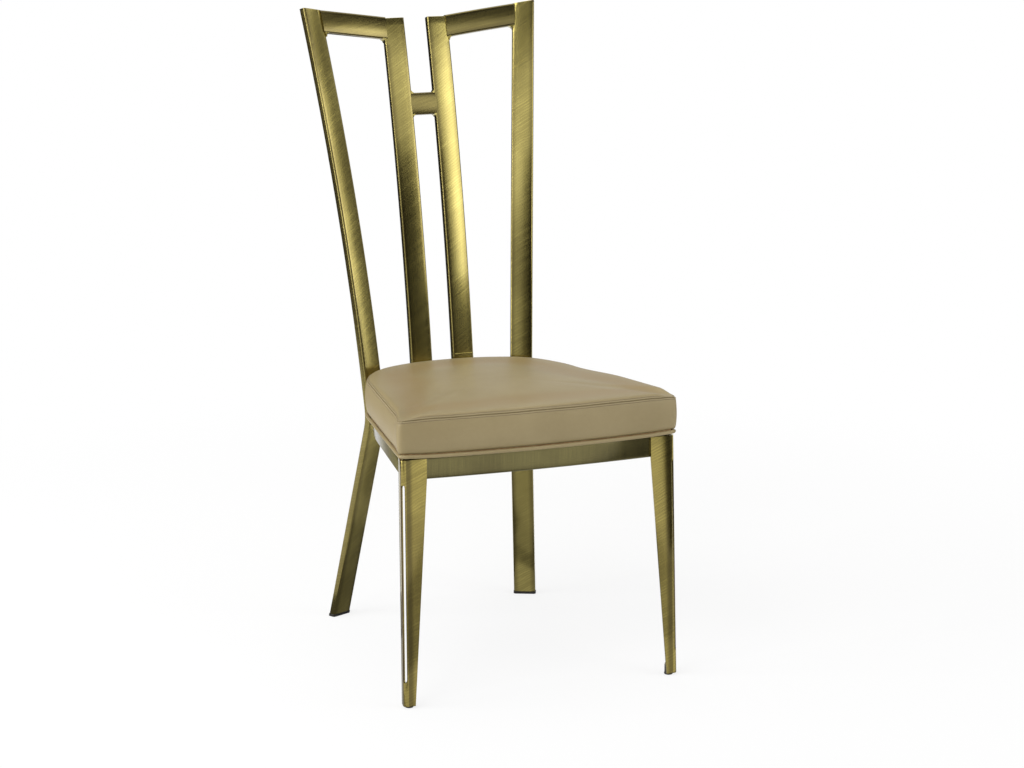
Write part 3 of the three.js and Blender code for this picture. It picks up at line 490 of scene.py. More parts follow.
def roundedOutline():
    # Right-angled tube section with soft corners and slightly bulging sides
    halfWidth, halfThickness = tube["width"] / 2, tube["thickness"] / 2
    crown, corner = tube["crown"], tube["corner"]
    outline = []
    for turn, (signX, signY) in enumerate(((1, 1), (-1, 1), (-1, -1), (1, -1))):
        for step in range(tube["cornerSteps"] + 1):
            angle = (turn + step / tube["cornerSteps"]) * math.pi / 2
            outline.append(Vector((signX * (halfWidth - crown / 2 - corner) + corner * math.cos(angle),
                                   signY * (halfThickness - crown - corner) + corner * math.sin(angle))))
        if turn in (0, 2):
            reach = halfWidth - crown / 2 - corner
            for step in range(1, tube["flatSteps"]):
                x = signX * reach * (1 - 2 * step / tube["flatSteps"])
                outline.append(Vector((x, signY * (halfThickness - crown * (x / reach) ** 2))))
    return outline


def station(centre, tangent, acrossHint):
    # Where a section stands: its centre, its width axis, its depth axis and the way along
    across = (acrossHint - tangent * acrossHint.dot(tangent)).normalized()
    return centre, across, across.cross(tangent), tangent


def sweep(name, stations, outline):
    # A disc is shaped to the section and extruded from station to station
    bpy.ops.object.select_all(action="DESELECT")
    bpy.ops.mesh.primitive_circle_add(vertices=len(outline), radius=0.01, fill_type="NGON")
    piece = bpy.context.object
    piece.name = piece.data.name = name
    flatHalf = tube["width"] / 2 - tube["corner"]
    editMode()
    for index, (centre, across, through, _) in enumerate(stations):
        if index:
            bpy.ops.mesh.extrude_region_move()
        mesh = bmesh.from_edit_mesh(piece.data)
        edge = mesh.verts.layers.float.get("edgeShare") or mesh.verts.layers.float.new("edgeShare")
        front = next(face for face in mesh.faces if face.select)
        for vertex, at in zip(front.verts, outline):
            vertex.co = centre + across * at.x + through * at.y
            vertex[edge] = min(abs(at.x) / flatHalf, 1)
        bmesh.update_edit_mesh(piece.data)
    bpy.ops.mesh.select_all(action="SELECT")
    bpy.ops.mesh.normals_make_consistent(inside=False)
    editMode(False)
    return piece


def cutEnd(piece, point, normal, edge=0):
    # Saws off what is past the plane and closes the end, with a ground edge where one is given
    pick(piece)
    editMode()
    bpy.ops.mesh.select_all(action="SELECT")
    bpy.ops.mesh.bisect(plane_co=point, plane_no=normal, use_fill=True, clear_outer=True)
    if edge:
        bpy.ops.mesh.bevel(offset=edge, segments=tube["lidSegments"], affect="EDGES")
    editMode(False)


def fadeEdgeShade(piece, place):
    # Fades the painted edge shade out round a joint
    share = piece.data.attributes["edgeShare"].data
    for vertex in piece.data.vertices:
        away = (vertex.co - place).length
        share[vertex.index].value *= ease((away - weld["edgeShadeFadeFrom"]) / (weld["edgeShadeFadeTo"] - weld["edgeShadeFadeFrom"]))


def alongCurves(curves, counts, acrossHint):
    stations = []
    for curve, number in zip(curves, counts):
        for step in range(1 if stations else 0, number + 1):
            at = step / number
            ahead = bezier(curve, min(at + 0.001, 1)) - bezier(curve, max(at - 0.001, 0))
            stations.append(station(bezier(curve, at), ahead.normalized(), acrossHint))
    return stations


def atHeight(curve, height):
    low, high = 0.0, 1.0
    for _ in range(40):
        middle = (low + high) / 2
        low, high = (middle, high) if bezier(curve, middle).z < height else (low, middle)
    return bezier(curve, low), (bezier(curve, low + 0.001) - bezier(curve, low - 0.001)).normalized()


def weldBead(name, corner, first, second, reach, depthAxis):
    # Concave bead in the corner between two faces that run away along first and second
    root = (first + second) * -weld["root"]
    hollow = (first + second) * reach * weld["hollow"]
    arc = [bezier([first * reach, hollow, second * reach], i / weld["arcSteps"])
           for i in range(weld["arcSteps"] + 1)]
    under = [root + way * reach * weld["under"] for way in (first, second)]
    flat = [under[0]] + arc + [under[1], root * 1.5]
    other = depthAxis.cross(first).normalized()
    outline = [Vector((p.dot(first), p.dot(other))) for p in flat]
    halfDepth = depthAxis * weld["depth"] / 2
    stations = [(corner + halfDepth * share, first, other, depthAxis) for share in (-1, 1)]
    bead = sweep(name, stations, outline)
    smooth(bead, tube["smoothBelow"])
    dress(bead, postBronze)


def backPoint(key, side):
    x, y, z = back[key]
    return Vector((side * x, y + seatShift, z))


def makeBackSide(label, side):
    foot, knee = backPoint("outerFoot", side), backPoint("knee", side)
    pull, top = backPoint("outerPull", side), backPoint("outerTop", side)
    bendStart = knee + (foot - knee).normalized() * back["kneeReach"]
    bendEnd = knee + (pull - knee).normalized() * back["kneeReach"]
    outerPost = [bendEnd, pull, top]
    turn = back["outerTurn"]
    outerAcross = Vector((side * math.cos(turn), -math.sin(turn), 0))
    under = foot + (foot - knee).normalized() * back["overrun"] / 2
    over = top + (top - pull).normalized() * back["overrun"]
    curves = [[under, bendStart], [bendStart, knee, bendEnd], outerPost, [top, over]]
    counts = (back["legSteps"], back["kneeSteps"], back["postSteps"], back["overSteps"])
    outer = sweep("outer_post_bronze_" + label, alongCurves(curves, counts, outerAcross), roundedOutline())

    innerFoot, innerPull = backPoint("innerFoot", side), backPoint("innerPull", side)
    innerTop = backPoint("innerTop", side)
    innerPost = [innerFoot, innerPull, innerTop]
    innerAcross = Vector((side * math.cos(back["innerTurn"]), -math.sin(back["innerTurn"]), 0))
    below = innerFoot + (innerFoot - innerPull).normalized() * back["overrun"] / 2
    innerStations = alongCurves([[below, innerFoot], innerPost], (1, back["postSteps"]), innerAcross)
    inner = sweep("inner_post_bronze_" + label, innerStations, roundedOutline())

    outerSeat, outerWay = atHeight(outerPost, back["outerTop"][2] - back["railOuterDrop"])
    innerSeat, innerWay = atHeight(innerPost, back["innerTop"][2] - back["railInnerDrop"])
    middle = innerSeat.lerp(outerSeat, 0.5)
    middle.y = innerSeat.y
    railLine = [innerSeat, middle, outerSeat]
    stations = []
    for step in range(back["railSteps"] + 1):
        at = step / back["railSteps"]
        ahead = (bezier(railLine, min(at + 0.001, 1)) - bezier(railLine, max(at - 0.001, 0))).normalized()
        stations.append(station(bezier(railLine, at), ahead, innerWay.lerp(outerWay, at)))
    rail = sweep("top_rail_bronze_" + label, stations, roundedOutline())

    half = tube["width"] / 2
    railEnd = stations[-1]
    cutEnd(outer, railEnd[0] + railEnd[1] * half, railEnd[1], tube["lidEdge"])
    cutEnd(outer, foot + Vector((0, 0, back["footCut"])), Vector((0, 0, -1)))
    cutEnd(inner, innerSeat + innerWay * half, innerWay, tube["lidEdge"])
    seatDown = seatPlace.to_3x3() @ Vector((0, 0, -1))
    cutEnd(inner, seatPlace @ Vector((0, back["innerFoot"][1], 0)), seatDown)

    # The rail runs to the nearer edge of each post's flat face, and beads fill its lower corners
    outerOut = station(outerSeat, outerWay, outerAcross)[1]
    innerOut = station(innerSeat, innerWay, innerAcross)[1]
    inset = half - tube["corner"] - tube["railLap"]
    cutEnd(rail, outerSeat - outerOut * inset, outerOut)
    cutEnd(rail, innerSeat + innerOut * inset, -innerOut)
    fadeEdgeShade(outer, outerSeat - outerOut * half)
    fadeEdgeShade(inner, innerSeat + innerOut * half)
    for piece, node in ((outer, "rear_leg_post_"), (inner, "inner_post_"), (rail, "top_rail_")):
        smooth(piece, tube["smoothBelow"])
        dress(piece, barBronze if piece is rail else postBronze, [node + label])
    railEnds = (("outer", stations[-1], outerWay, -outerOut), ("inner", stations[0], innerWay, innerOut))
    for end, place, post, out in railEnds:
        centre, across, through, along = place
        away = along if end == "inner" else -along
        lower = centre - across * half
        corner = lower + away * (half + across.dot(out) * half) / away.dot(out)
        weldBead("weld_rail_%s_%s" % (end, label), corner, away, -post, weld[end], through.normalized())
    return innerPost, innerAcross


def makeFootBead(innerPost, innerAcross):
    # A thin bead across the right inner post's face, where the post meets its foot
    spot, way = atHeight(innerPost, weld["footHeight"])
    _, along, through, _ = station(spot, way, innerAcross)
    front = spot - through * (tube["thickness"] / 2 - tube["crown"] / 2) * (1 if through.y > 0 else -1)
    reach = tube["width"] / 2 - tube["corner"]
    places = [front + along * reach * share for share in (-1, -0.96, 0, 0.96, 1)]
    angles = [2 * math.pi * k / weld["footSides"] for k in range(weld["footSides"])]
    ring = [Vector((math.cos(a), math.sin(a))) * weld["footRadius"] for a in angles]
    bead = sweep("weld_foot_right", [(at, way, along.cross(way), along) for at in places], ring)
    smooth(bead, tube["smoothBelow"])
    dress(bead, postBronze)


def makeBridge(innerPost):
    centre, way = atHeight(innerPost, back["innerTop"][2] - back["bridgeDrop"])
    along = Vector((1, 0, 0))
    half, span = tube["width"] / 2, centre.x
    reach = span - half + tube["corner"]
    stations = [station(Vector((reach * share, centre.y, centre.z)), along, way)
                for share in (-1, -0.5, 0, 0.5, 1)]
    bridge = sweep("bridge_bronze", stations, roundedOutline())
    smooth(bridge, tube["smoothBelow"])
    dress(bridge, barBronze, ["bridge_bar"])
    _, up, through, _ = stations[0]
    for label, side in sides.items():
        for end, lift in (("top", 1), ("foot", -1)):
            corner = Vector((side * (span - half), centre.y, centre.z)) + up * lift * half
            weldBead("weld_bridge_%s_%s" % (end, label), corner, Vector((-side, 0, 0)), way * lift,
                     weld["bridge"], through)


frameMaterials = {
    "side_apron": apronBronze,
    "front_leg": legBronze,
    "foot_plate": legBronze,
    "corner_gusset_front": apronBronze,
    "corner_gusset_rear": apronBronze,
}
plate = {
    "edge": 0.0006, "edgeSegments": 3, "flat": math.radians(0.4), "bevelAbove": math.radians(35),
    "smoothBelow": 40,
}


def finishPlate(piece):
    pick(piece)
    editMode()
    bpy.ops.mesh.select_all(action="SELECT")
    bpy.ops.mesh.dissolve_limited(angle_limit=plate["flat"])
    editMode(False)
    edge = piece.modifiers.new("edges", "BEVEL")
    edge.width = plate["edge"]
    edge.segments = plate["edgeSegments"]
    edge.limit_method = "ANGLE"
    edge.angle_limit = plate["bevelAbove"]
    applyModifiers(piece)
    smooth(piece, plate["smoothBelow"])


for label, side in sides.items():
    innerLine, innerWidthAxis = makeBackSide(label, side)
makeFootBead(innerLine, innerWidthAxis)  # the last side is the right one
makeBridge(innerLine)
print("stage: back made")

for side in sides:
    for kind, metal in frameMaterials.items():
        node = kind + "_" + side
        piece = copyNode(node, node + "_bronze")
        if kind == "side_apron":
            smooth(piece, tube["smoothBelow"])
        else:
            finishPlate(piece)
        dress(piece, metal, [node])
for node in ("front_apron", "rear_apron"):
    piece = copyNode(node, node + "_bronze")
    smooth(piece, tube["smoothBelow"])
    dress(piece, apronBronze, [node])
print("stage: frame dressed")


# Feet

for side in sides:
    for node in ("rear_foot_cap_" + side, "front_glide_" + side):
        piece = copyNode(node, node + "_moulded")
        finishPlate(piece)
        dress(piece, blackPlastic, [node])


# Seat pad

pad = {
    "frontHalf": 0.2306, "frontBack": 0.0077, "frontBow": 0.014,
    "cornerReach": 0.009, "cornerLeast": 0.004, "cornerPush": 0.0044, "pushFade": 0.028,
    "sideTaper": math.radians(9.6), "sideEnd": 0.316, "sidePull": 0.082,
    "rearBack": 0.4373, "rearPull": 0.092,
    "low": 0.0071, "seamHeight": 0.0624, "crownRise": 0.0156,
    "bulge": 0.0068, "cornerBulgeShare": 0.5, "cornerFade": 0.09,
    # the top panel rolls up from the seam, most along the sides' front part, and dips behind the roll
    "frontRoll": 0.0065, "sideRoll": 0.0084, "rollFrom": 0.135, "rollTo": 0.29,
    "flankRoll": 0.0022, "rearRoll": 0.005, "rearFrom": 0.34, "rearTo": 0.41,
    "rollCorner": 0.035, "rollTurn": 0.0022, "crownPower": 3.2,
    "dip": 0.0024, "dipAt": 0.062, "dipWide": 0.028, "dipCorner": 0.11,
    "calmFrom": 0.008, "calmFade": 0.03, "calmTimes": 40,
    "cornerSag": 0.0012, "cornerRise": 0.0012, "footSag": 0.001, "footFade": 0.03,
    "frontSteps": 24, "cornerSteps": 8, "sideSteps": 20, "rearSteps": 30, "around": 336,
}
swell = {
    "voxel": 0.005, "pressure": 4.0, "frames": 20, "quality": 6, "cap": 0.004,
    "startShare": 0.6, "coverShare": 0.8,  # how full the pad is before it swells, and its cover
    "heldBySeam": 0.006, "heldByFoot": 0.004,
}

padCentre = Vector((0, (pad["frontBack"] + pad["rearBack"]) / 2))


def fromCorner(point):
    return (Vector((pad["frontHalf"], pad["frontBack"])) - Vector((abs(point.x), point.y))).length


def atCorner(point, fade):
    return math.exp(-(fromCorner(point) / fade) ** 2)


def padLine(inset, push=True):
    # Outline from the front's middle, round the right side to the back, and home round the left
    taper = pad["sideTaper"]
    frontBack = pad["frontBack"] + inset

    def sideAt(back):
        return pad["frontHalf"] - (back - pad["frontBack"]) * math.tan(taper) - inset / math.cos(taper)

    corner = Vector((sideAt(frontBack), frontBack))
    reach = max(pad["cornerReach"] - inset, pad["cornerLeast"])

    def frontAt(x):
        return corner.y - pad["frontBow"] * (1 - (x / corner.x) ** 2)

    front, turn, side = pad["frontSteps"], pad["cornerSteps"], pad["sideSteps"]
    frontEnd = corner.x - reach
    half = [Vector((i / front * frontEnd, frontAt(i / front * frontEnd))) for i in range(front)]
    cornerEnd = corner + reach * Vector((-math.sin(taper), math.cos(taper)))
    cornerStart = Vector((frontEnd, frontAt(frontEnd)))
    half += [bezier([cornerStart, corner, cornerEnd], i / turn) for i in range(turn + 1)]
    sideEnd = Vector((sideAt(pad["sideEnd"]), pad["sideEnd"]))
    half += [cornerEnd.lerp(sideEnd, i / side) for i in range(1, side)]
    rear = Vector((0, pad["rearBack"] - inset))
    sidePull = (pad["sidePull"] - inset / 2) * Vector((-math.sin(taper), math.cos(taper)))
    rearPull = Vector((pad["rearPull"] - inset / 2, 0))
    rearCurve = [sideEnd, sideEnd + sidePull, rear + rearPull, rear]
    half += [bezier(rearCurve, i / pad["rearSteps"]) for i in range(pad["rearSteps"] + 1)]
    if push:
        half = [p + Vector((pad["cornerPush"] * atCorner(p, pad["pushFade"]), 0)) for p in half]
    return half + [Vector((-p.x, p.y)) for p in half[-2:0:-1]]


def padLineEven(inset, push=True):
    return evenly(padLine(inset, push), pad["around"])


def bulgeShare(point):
    return mix(pad["cornerBulgeShare"], 1, ease(fromCorner(point) / pad["cornerFade"]))


def footLift(point):
    # The pad's foot rides up on the legs' tops and sags between them
    sag = pad["footSag"] * (1 - (point.x / pad["frontHalf"]) ** 2) if point.y < pad["frontBack"] else 0
    return pad["cornerRise"] * atCorner(point, pad["footFade"]) - sag


def rollHeight(point):
    away = fromCorner(point)
    if point.y < pad["frontBack"] + pad["cornerReach"] / 2:
        full = pad["frontRoll"]
    else:
        flank = ease((away - pad["rollFrom"]) / (pad["rollTo"] - pad["rollFrom"]))
        rear = ease((point.y - pad["rearFrom"]) / (pad["rearTo"] - pad["rearFrom"]))
        full = mix(mix(pad["sideRoll"], pad["flankRoll"], flank), pad["rearRoll"], rear)
    return full * ease(away / pad["rollCorner"])


def crownShare(across):
    return min(across / (pad["rearBack"] / 2), 1)


def padPoint(base, outward, across, fullness):
    # across is the distance from the seam: below 0 down the boxing, above 0 over the top panel
    low = pad["low"] + footLift(base)
    seam = pad["seamHeight"] - pad["cornerSag"] * atCorner(base, pad["footFade"])
    if across <= 0:
        rise = 1 + across / (pad["seamHeight"] - pad["low"])
        swollen = fullness * bulgeShare(base) * max(math.sin(math.pi * rise), 0) ** 0.6
        at = base.lerp(outward, swollen)
        return Vector((at.x, at.y, mix(low, seam, rise)))
    share = crownShare(across)
    at = base.lerp(padCentre, share)
    crown = fullness * pad["crownRise"] * (1 - (1 - share) ** pad["crownPower"])
    return Vector((at.x, at.y, mix(seam, pad["seamHeight"], share) + crown))


def padRings(steps, fullness):
    base = padLineEven(0)
    outward = padLineEven(-pad["bulge"])
    return [[padPoint(b, o, across, fullness) for b, o in zip(base, outward)] for across in steps]


def loft(name, rings):
    count = len(rings[0])
    points = [seatPlace @ p for ring in rings for p in ring]
    faces = []
    for ring in range(len(rings) - 1):
        for i in range(count):
            following = (i + 1) % count
            low = ring * count
            faces.append((low + i, low + following, low + count + following, low + count + i))
    top = (len(rings) - 1) * count
    centre = sum((Vector(p) for p in points[top:]), Vector()) / count
    points.append(centre)
    faces += [(top + i, top + (i + 1) % count, len(points) - 1) for i in range(count)]
    lowCentre = sum((Vector(p) for p in points[:count]), Vector()) / count
    points.append(lowCentre)
    faces += [((i + 1) % count, i, len(points) - 1) for i in range(count)]
    return newMesh(name, points, faces)


# How far the rings lie from the top seam, close together beside it
boxing = pad["seamHeight"] - pad["low"]
boxingZone = [0.0004, 0.0009, 0.0015, 0.0022, 0.0029, 0.0034, 0.0039, 0.0048, 0.006, 0.008]
rollZone = [0.0002, 0.0004, 0.0007, 0.001, 0.0013, 0.0016, 0.0019, 0.0023, 0.0029, 0.0037, 0.0048,
            0.006, 0.008]
boxingSteps = [-boxing * (1 - i / 14) for i in range(13)]
topSteps = [0.011 + 0.204 * (i / 30) ** 1.15 for i in range(31)]
padSteps = sorted(set(boxingSteps + [-s for s in boxingZone] + [0.0] + rollZone + topSteps))


def swollenPad():
    # A smaller pad, blown up as cloth that is held at its seam and foot
    steps = [-boxing * (1 - i / 6) for i in range(7)] + topSteps
    start = loft("pad_start", padRings(steps, swell["startShare"]))
    start.data.remesh_voxel_size = swell["voxel"]
    pick(start)
    bpy.ops.object.voxel_remesh()
    held = start.vertex_groups.new(name="held")
    toSeat = seatPlace.inverted()
    line = padLineEven(0)
    spread = BVHTree.FromPolygons([(p.x, p.y, z) for z in (-1, 1) for p in line],
                                  [(i, (i + 1) % len(line), len(line) + (i + 1) % len(line), len(line) + i)
                                   for i in range(len(line))])
    rest = []
    for vertex in start.data.vertices:
        at = toSeat @ vertex.co
        rest.append(vertex.co.copy())
        fromLine = spread.find_nearest(Vector((at.x, at.y, 0)))[3]
        nearSeam = math.hypot(fromLine, at.z - pad["seamHeight"]) < swell["heldBySeam"]
        if nearSeam or at.z < pad["low"] + swell["heldByFoot"]:
            held.add([vertex.index], 1, "REPLACE")
    cloth = start.modifiers.new("swell", "CLOTH")
    cloth.settings.quality = swell["quality"]
    cloth.settings.use_pressure = True
    cloth.settings.uniform_pressure_force = swell["pressure"]
    cloth.settings.vertex_group_mass = "held"
    cloth.settings.effector_weights.gravity = 0
    cloth.point_cache.frame_start = 1
    cloth.point_cache.frame_end = swell["frames"]
    for step in range(1, swell["frames"] + 1):
        bpy.context.scene.frame_set(step)
    applyModifiers(start)
    bpy.context.scene.frame_set(1)
    for vertex, was in zip(start.data.vertices, rest):
        move = vertex.co - was
        if move.length > swell["cap"]:
            vertex.co = was + move * (swell["cap"] / move.length)
    soften = start.modifiers.new("soften", "SUBSURF")
    soften.levels = soften.render_levels = 1
    applyModifiers(start)
    return start


cover = loft("seat_cover_leather", padRings(padSteps, swell["coverShare"]))
swollen = swollenPad()
wrap = cover.modifiers.new("wrap", "SHRINKWRAP")
wrap.target = swollen
wrap.wrap_method = "NEAREST_SURFACEPOINT"
applyModifiers(cover)
bpy.data.objects.remove(swollen)

# The top panel rolls up from the seam. The seam is a narrow groove with a row of stitches on both sides.
count = pad["around"]
points = [v.co.copy() for v in cover.data.vertices]
seatUp = seatPlace.to_3x3() @ Vector((0, 0, 1))
rolls = [rollHeight(p) for p in padLineEven(0)]
dipShares = [ease(fromCorner(p) / pad["dipCorner"]) for p in padLineEven(0)]
for index, across in enumerate(padSteps):
    if across > 0:
        fade = (1 - crownShare(across)) ** pad["crownPower"]
        dip = pad["dip"] * math.exp(-((across - pad["dipAt"]) / pad["dipWide"]) ** 2)
        for i in range(count):
            lift = rolls[i] * (1 - math.exp(-across / pad["rollTurn"])) * fade - dip * dipShares[i]
            points[index * count + i] += seatUp * lift
for vertex, point in zip(cover.data.vertices, points):
    vertex.co = point
cover.data.update()

# The small creases are calmed over the top panel
panel = cover.vertex_groups.new(name="panel")
for index, across in enumerate(padSteps):
    share = ease((across - pad["calmFrom"]) / pad["calmFade"])
    panel.add(list(range(index * count, (index + 1) * count)), share, "REPLACE")
calm = cover.modifiers.new("calm", "SMOOTH")
calm.factor, calm.iterations, calm.vertex_group = 0.5, pad["calmTimes"], "panel"
applyModifiers(cover)
points = [v.co.copy() for v in cover.data.vertices]

normals = [v.normal.copy() for v in cover.data.vertices]
attribute = cover.data.attributes.new("seamAcross", "FLOAT", "POINT")
seamRing = padSteps.index(0.0)
reaches = [[0.0] * count for _ in padSteps]
for way in (1, -1):
    index = seamRing + way
    while 0 <= index < len(padSteps):
        for i in range(count):
            step = (points[index * count + i] - points[(index - way) * count + i]).length
            reaches[index][i] = reaches[index - way][i] + way * step
        index += way
ringReach = [sum(row) / count for row in reaches]
for index, row in enumerate(reaches):
    for i, reach in enumerate(row):
        vertex = cover.data.vertices[index * count + i]
        dip = sum(deep * math.exp(-((abs(reach) - away) / wide) ** 2)
                  for deep, away, wide in topSeam["shape"])
        vertex.co -= normals[vertex.index] * dip
        attribute.data[vertex.index].value = reach
for vertex in list(cover.data.vertices)[len(padSteps) * count:]:
    attribute.data[vertex.index].value = 0.2  # the two middle points, far from the seam
cover.data.update()
smooth(cover, 180)
dress(cover, leatherSeamed, ["seat_cover", "seat_foam"])
print("stage: seat pad made")


# Stitches along the seam

stitch = {
    "length": 0.0031, "gap": 0.0011, "radius": 0.00034, "sunk": 0.0001,
    "rows": (-topSeam["row"], topSeam["row"]),
}
bpy.ops.object.select_all(action="DESELECT")
bpy.ops.mesh.primitive_uv_sphere_add(segments=6, ring_count=5, radius=1)
bead = bpy.context.object
beadPoints = [v.co.copy() for v in bead.data.vertices]
beadFaces = [tuple(p.vertices) for p in bead.data.polygons]
bpy.data.objects.remove(bead)

stitchPoints, stitchFaces = [], []
for row in stitch["rows"]:
    ring = min(range(len(padSteps)), key=lambda i: abs(ringReach[i] - row))
    line = [cover.data.vertices[ring * count + i].co.copy() for i in range(count)]
    out = [cover.data.vertices[ring * count + i].normal.copy() for i in range(count)]
    length = sum((line[(i + 1) % count] - line[i]).length for i in range(count))
    number = round(length / (stitch["length"] + stitch["gap"]))
    spots = evenly(line, number)
    for i, spot in enumerate(spots):
        along = (spots[(i + 1) % number] - spots[i - 1]).normalized()
        nearest = min(range(count), key=lambda k: (line[k] - spot).length_squared)
        normal = (out[nearest] - along * out[nearest].dot(along)).normalized()
        turn = Matrix((along, normal.cross(along), normal)).transposed()
        size = Vector((stitch["length"] / 2, stitch["radius"], stitch["radius"]))
        first = len(stitchPoints)
        for p in beadPoints:
            shaped = Vector((p.x * size.x, p.y * size.y, p.z * size.z))
            stitchPoints.append(spot - normal * stitch["sunk"] + turn @ shaped)
        stitchFaces += [tuple(first + v for v in face) for face in beadFaces]
stitching = newMesh("seam_stitches", stitchPoints, stitchFaces)
smooth(stitching, 180)
dress(stitching, thread)
print("stage: stitches", len(stitchPoints) // len(beadPoints))


# Welt round the foot of the boxing

welt = {"radius": 0.003, "outset": 0.001, "rise": 0.0037, "sides": 16, "flange": 0.0009}


def weltCord():
    line = padLineEven(-welt["outset"], push=False)
    points, faces = [], []
    for i, centre in enumerate(line):
        along = (line[(i + 1) % count] - line[i - 1]).normalized()
        outward = Vector((along.y, -along.x))
        for k in range(welt["sides"]):
            angle = 2 * math.pi * k / welt["sides"]
            reach = welt["radius"] * math.cos(angle)
            at = centre + outward * reach
            height = welt["rise"] + footLift(centre) + welt["radius"] * math.sin(angle)
            points.append(seatPlace @ Vector((at.x, at.y, height)))
            a, b = i * welt["sides"] + k, i * welt["sides"] + (k + 1) % welt["sides"]
            step = ((i + 1) % count - i) * welt["sides"]
            faces.append((a, b, b + step, a + step))
    return newMesh("seat_welt_leather", points, faces)


cord = weltCord()
smooth(cord, 180)
dress(cord, leatherPlain, ["seat_piping"])


# Pieces under the seat

dustCover = copyNode("dust_cover", "seat_dust_cover")
smooth(dustCover, 30)
dress(dustCover, wovenCambric("cambric"), ["dust_cover"])

under = {"seat_board": plywoodMaterial("plywood")}
zinc = zincMaterial("zinc")
for end in ("front", "rear"):
    for side in sides:
        under["tee_nut_%s_%s" % (end, side)] = zinc
        under["seat_screw_%s_%s" % (end, side)] = zinc
for node, finish in under.items():
    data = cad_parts[node].data
    data.materials.clear()
    data.materials.append(finish)
print("stage: hidden pieces dressed")


# Floor, light and camera

camera = {
    "place": (-1.6220, -3.9907, 1.4729),  # from the seat frame's origin on the floor
    "turn": (math.radians(90 - 12.733), 0, math.radians(-21.485)),
    "focalPixels": 2850, "frameWidth": 1024, "sensor": 36,
}
floor = {"size": 12, "plainFrom": 0.7, "plainBy": 1.9, "plainNear": 0.8}
studio = {
    "ambient": 0.5,
    "lamps": {
        # place, what it is aimed at, size and power
        "key": ((-2.2, -1.6, 3.2), (0, 0, 0.5), (1.8, 1.8), 46),
        "fill": ((1.9, -1.9, 1.3), (0, 0.1, 0.7), (1.7, 1.7), 19),
        "top": ((0.2, 0.4, 3.6), (0, 0, 0.4), (2.6, 2.6), 16),
        "side": ((-2.9, 0.2, 1.2), (0, 0, 0.45), (1.6, 1.6), 50),
    },
    # glowing grey cards, painted reflections that only the metal mirrors: two opposite corners, and how light
    # the grey is
    "cards": {
        "front_card": ((-0.32, -0.75, 0.45), (0.40, -0.75, 1.16), 0.03),
        "front_left_card": ((-0.9, -0.76, 0.3), (-0.32, -0.76, 1.04), 0.46),
        "upper_card": ((-0.8, -0.85, 1.52), (1.5, -0.75, 2.4), 0.1),
        "low_card": ((0.40, -0.75, 0.10), (1.30, -0.75, 0.74), 0.06),
        "left_card": ((-1.5, 0.1, 0.15), (-1.5, 1.3, 1.9), 0.08),
        "back_card": ((-1.9, 1.5, 0.05), (0.3, 1.5, 1.5), 0.04),
        "right_card": ((1.5, 0.2, 0.5), (1.5, 1.0, 1.6), 0.1),
        "side_card": ((1.5, -0.6, 0.3), (1.5, -0.1, 1.7), 0.15),
        # painted reflection of a darker floor in front of the chair
        "floor_card": ((-0.5, -1.05, 0.002), (0.15, -0.42, 0.002), 0.4),
        "floor_side_card": ((0.15, -1.05, 0.002), (0.8, -0.42, 0.002), 0.55),
        # painted shadow: the chair's shadow on the floor, as only the metal sees it
        "under_card": ((-0.3, -0.3, 0.002), (0.4, 0.05, 0.002), 0.46),
        "under_left_card": ((-0.3, 0.05, 0.002), (0.07, 0.115, 0.002), 0.15),
        "under_middle_card": ((0.07, 0.05, 0.002), (0.17, 0.115, 0.002), 0.38),
        "under_right_card": ((0.17, 0.05, 0.002), (0.4, 0.115, 0.002), 0.15),
        "under_back_card": ((-0.3, 0.115, 0.002), (0.4, 0.15, 0.002), 0.2),
        "under_far_card": ((-0.3, 0.15, 0.002), (0.11, 0.32, 0.002), 0.15),
        "under_corner_card": ((0.11, 0.15, 0.002), (0.4, 0.32, 0.002), 0.46),
    },
}


def makeFloor():
    bpy.ops.object.select_all(action="DESELECT")
    bpy.ops.mesh.primitive_plane_add(size=floor["size"], location=(0, 0, 0))
    plane = bpy.context.object
    plane.name = "studio_floor"
    editMode()
    bpy.ops.mesh.subdivide(number_cuts=7)
    editMode(False)
    made, graph = material("pale_floor")
    where = graph.add("TexCoord").outputs["Object"]
    away = graph.value("VectorMath", {"operation": "LENGTH"}, {0: where}, output=1)
    fade = away.between(floor["plainFrom"], floor["plainBy"])
    seen = Value(graph, graph.add("LightPath").outputs["Is Camera Ray"])
    near = seen * floor["plainNear"]
    fade = graph.seenPlain() * (near + fade * (1 - near))
    paper = graph.add("BsdfDiffuse", {}, {"Color": (0.9, 0.9, 0.9, 1), "Roughness": 0.5})
    glow = graph.add("Emission", {}, {"Color": (1, 1, 1, 1), "Strength": 1})
    both = graph.add("MixShader", {}, {0: fade, 1: paper.outputs[0], 2: glow.outputs[0]})
    graph.add("OutputMaterial", {}, {"Surface": both.outputs[0]})
    plane.data.materials.append(made)


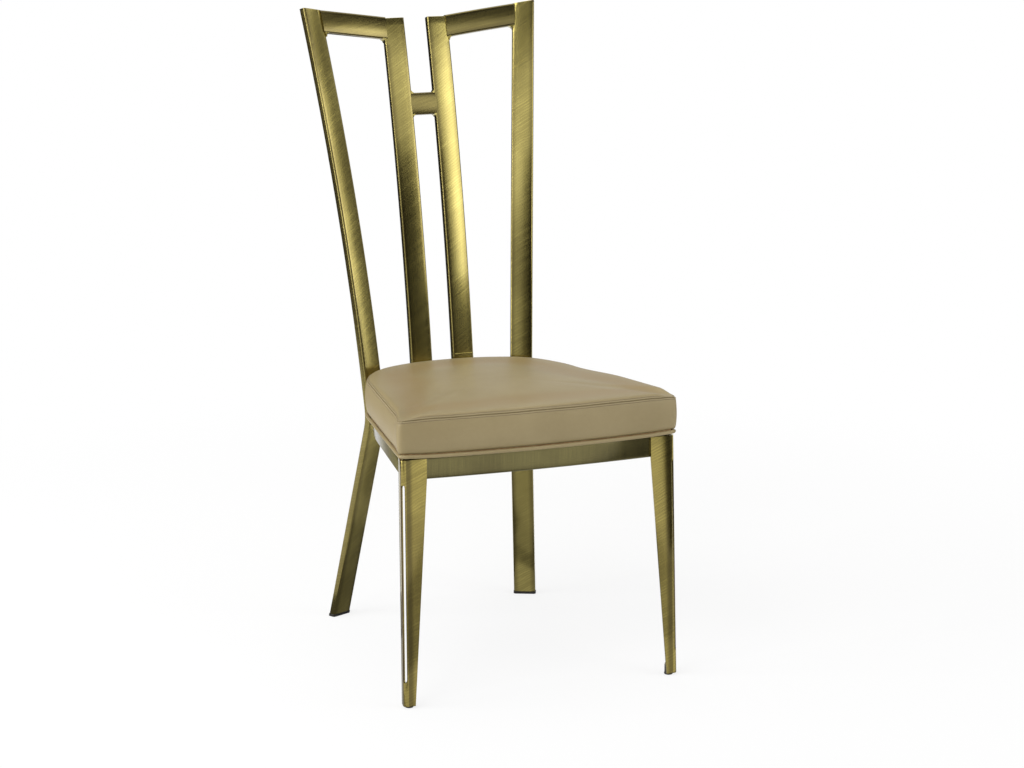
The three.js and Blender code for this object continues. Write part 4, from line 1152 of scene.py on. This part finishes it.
def makeWorld():
    world = bpy.data.worlds.new("studio")
    bpy.context.scene.world = world
    world.use_nodes = True
    graph = Graph(world.node_tree)
    room = graph.add("Background", {}, {"Color": (1, 1, 1, 1), "Strength": studio["ambient"]})
    white = graph.add("Background", {}, {"Color": (1, 1, 1, 1), "Strength": 1})
    both = graph.add("MixShader", {}, {0: graph.seenPlain(), 1: room.outputs[0], 2: white.outputs[0]})
    graph.add("OutputWorld", {}, {"Surface": both.outputs[0]})


def softLight(name, place, target, size, power):
    data = bpy.data.lights.new(name, "AREA")
    data.shape = "RECTANGLE"
    data.size, data.size_y = size
    data.energy = power
    lamp = bpy.data.objects.new(name, data)
    bpy.context.scene.collection.objects.link(lamp)
    lamp.location = place
    lamp.rotation_euler = (Vector(target) - Vector(place)).to_track_quat("-Z", "Y").to_euler()


def darkCard(name, low, high, grey):
    bpy.ops.object.select_all(action="DESELECT")
    bpy.ops.mesh.primitive_plane_add(size=1)
    card = bpy.context.object
    card.name = name
    upright = high[2] > low[2]
    places = [low, (high[0], high[1] if upright else low[1], low[2]),
              (low[0], low[1] if upright else high[1], high[2]), high]
    for vertex, place in zip(card.data.vertices, places):
        vertex.co = place
    made, graph = material(name)
    cardGlow = graph.add("Emission", {}, {"Color": (grey, grey, grey, 1), "Strength": 1})
    graph.add("OutputMaterial", {}, {"Surface": cardGlow.outputs[0]})
    card.data.materials.append(made)
    card.visible_camera = card.visible_diffuse = card.visible_shadow = card.visible_transmission = False


def makeCamera():
    data = bpy.data.cameras.new("camera")
    data.sensor_width = camera["sensor"]
    data.lens = camera["focalPixels"] / camera["frameWidth"] * camera["sensor"]
    data.clip_end = 60
    holder = bpy.data.objects.new("camera", data)
    bpy.context.scene.collection.objects.link(holder)
    holder.location = Vector(camera["place"]) + Vector((0, seatShift, 0))
    holder.rotation_euler = camera["turn"]
    bpy.context.scene.camera = holder


makeFloor()
makeWorld()
for name, lamp in studio["lamps"].items():
    softLight(name, *lamp)
for name, card in studio["cards"].items():
    darkCard(name, *card)
makeCamera()
bpy.context.scene.view_settings.view_transform = "Standard"

print("stage: scene set")
